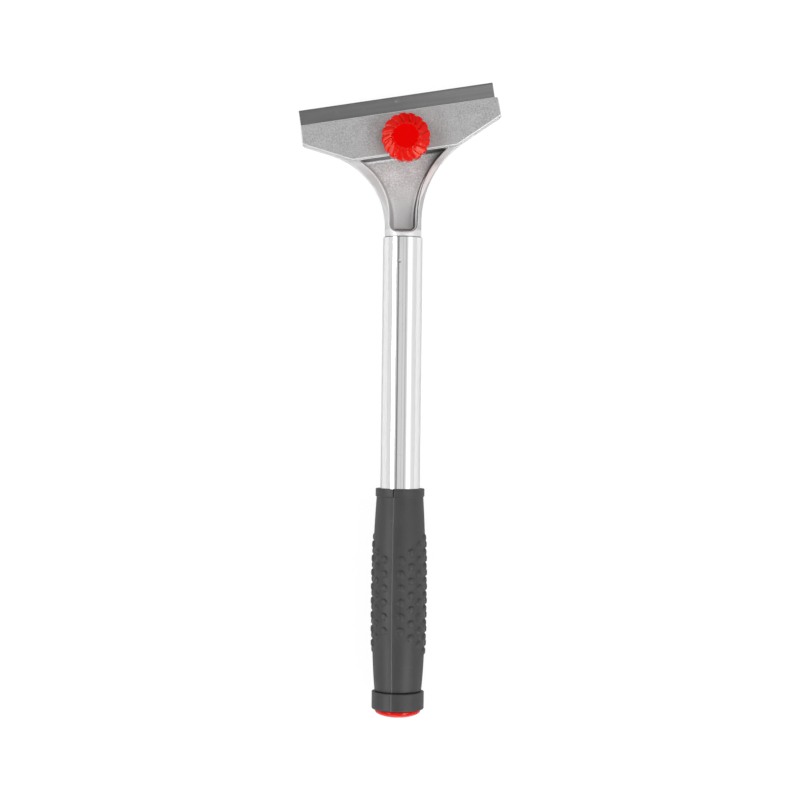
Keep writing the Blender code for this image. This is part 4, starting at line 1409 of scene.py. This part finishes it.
def make_table():
    """The white table, far larger than the view; it glows from below and keeps next to no shadow."""
    mesh = bmesh.new()
    bmesh.ops.create_grid(mesh, x_segments=2, y_segments=2, size=TABLE_HALF)
    mesh.transform(Matrix.Translation((0, 0, -GAP / 2)))
    table = body_of("table", mesh)
    made, nodes = finish_base("white_table", Roughness=0.9, Specular_IOR_Level=0.0)
    ready = made.node_tree.nodes
    nodes.give("Base Color", nodes.blend(nodes.noise(nodes.place(), 3.0), grey(0.74), grey(0.78)))
    glow = nodes.add("ShaderNodeEmission", {"Color": grey(1.0), "Strength": TABLE_GLOW})
    mixed = nodes.add("ShaderNodeMixShader", {"Fac": nodes.times(nodes.seen(), TABLE_GLOW_SHARE)})
    nodes.feed(mixed.inputs[1], ready["Principled BSDF"].outputs[0])
    nodes.feed(mixed.inputs[2], glow.outputs[0])
    nodes.feed(ready["Material Output"].inputs["Surface"], mixed.outputs[0])
    table.data.materials.append(made)


def make_key_light():
    """One large soft light from the upper right, for the knob's shadow on the plate."""
    data = bpy.data.lights.new("key", "AREA")
    data.shape = "RECTANGLE"
    data.size = KEY_SIZE
    data.size_y = KEY_SIZE
    data.energy = KEY_POWER
    light = placed("key", data)
    light.location = KEY_PLACE
    aim = Vector(KEY_AIM) - Vector(light.location)
    light.rotation_euler = aim.to_track_quat("-Z", "Y").to_euler()


def make_camera():
    data = bpy.data.cameras.new("camera")
    data.lens = CAMERA_LENS
    data.sensor_width = 36.0
    data.clip_start = 0.01
    camera = placed("camera", data)
    camera.location = CAMERA_PLACE
    camera.rotation_euler = (0, 0, CAMERA_ROLL)
    bpy.context.scene.camera = camera


def main():
    make_camera()
    make_world()
    make_table()
    make_key_light()
    bpy.context.scene.view_settings.view_transform = "Standard"
    sand = sand_grain()
    lines = drawn_lines()
    wear = handling_wear()
    make_casting(cast_metal(sand, wear))
    make_plate(plate_metal(sand, wear))
    make_blade(blade_steel(lines, wear))
    plated = screw_steel(lines, wear)
    make_washer(plated)
    make_screw(plated)
    red = red_plastic(sand, wear)
    make_knob(red)
    make_tube(chrome(lines, wear))
    make_grip(grip_rubber(sand, wear))
    make_cap(red)


main()
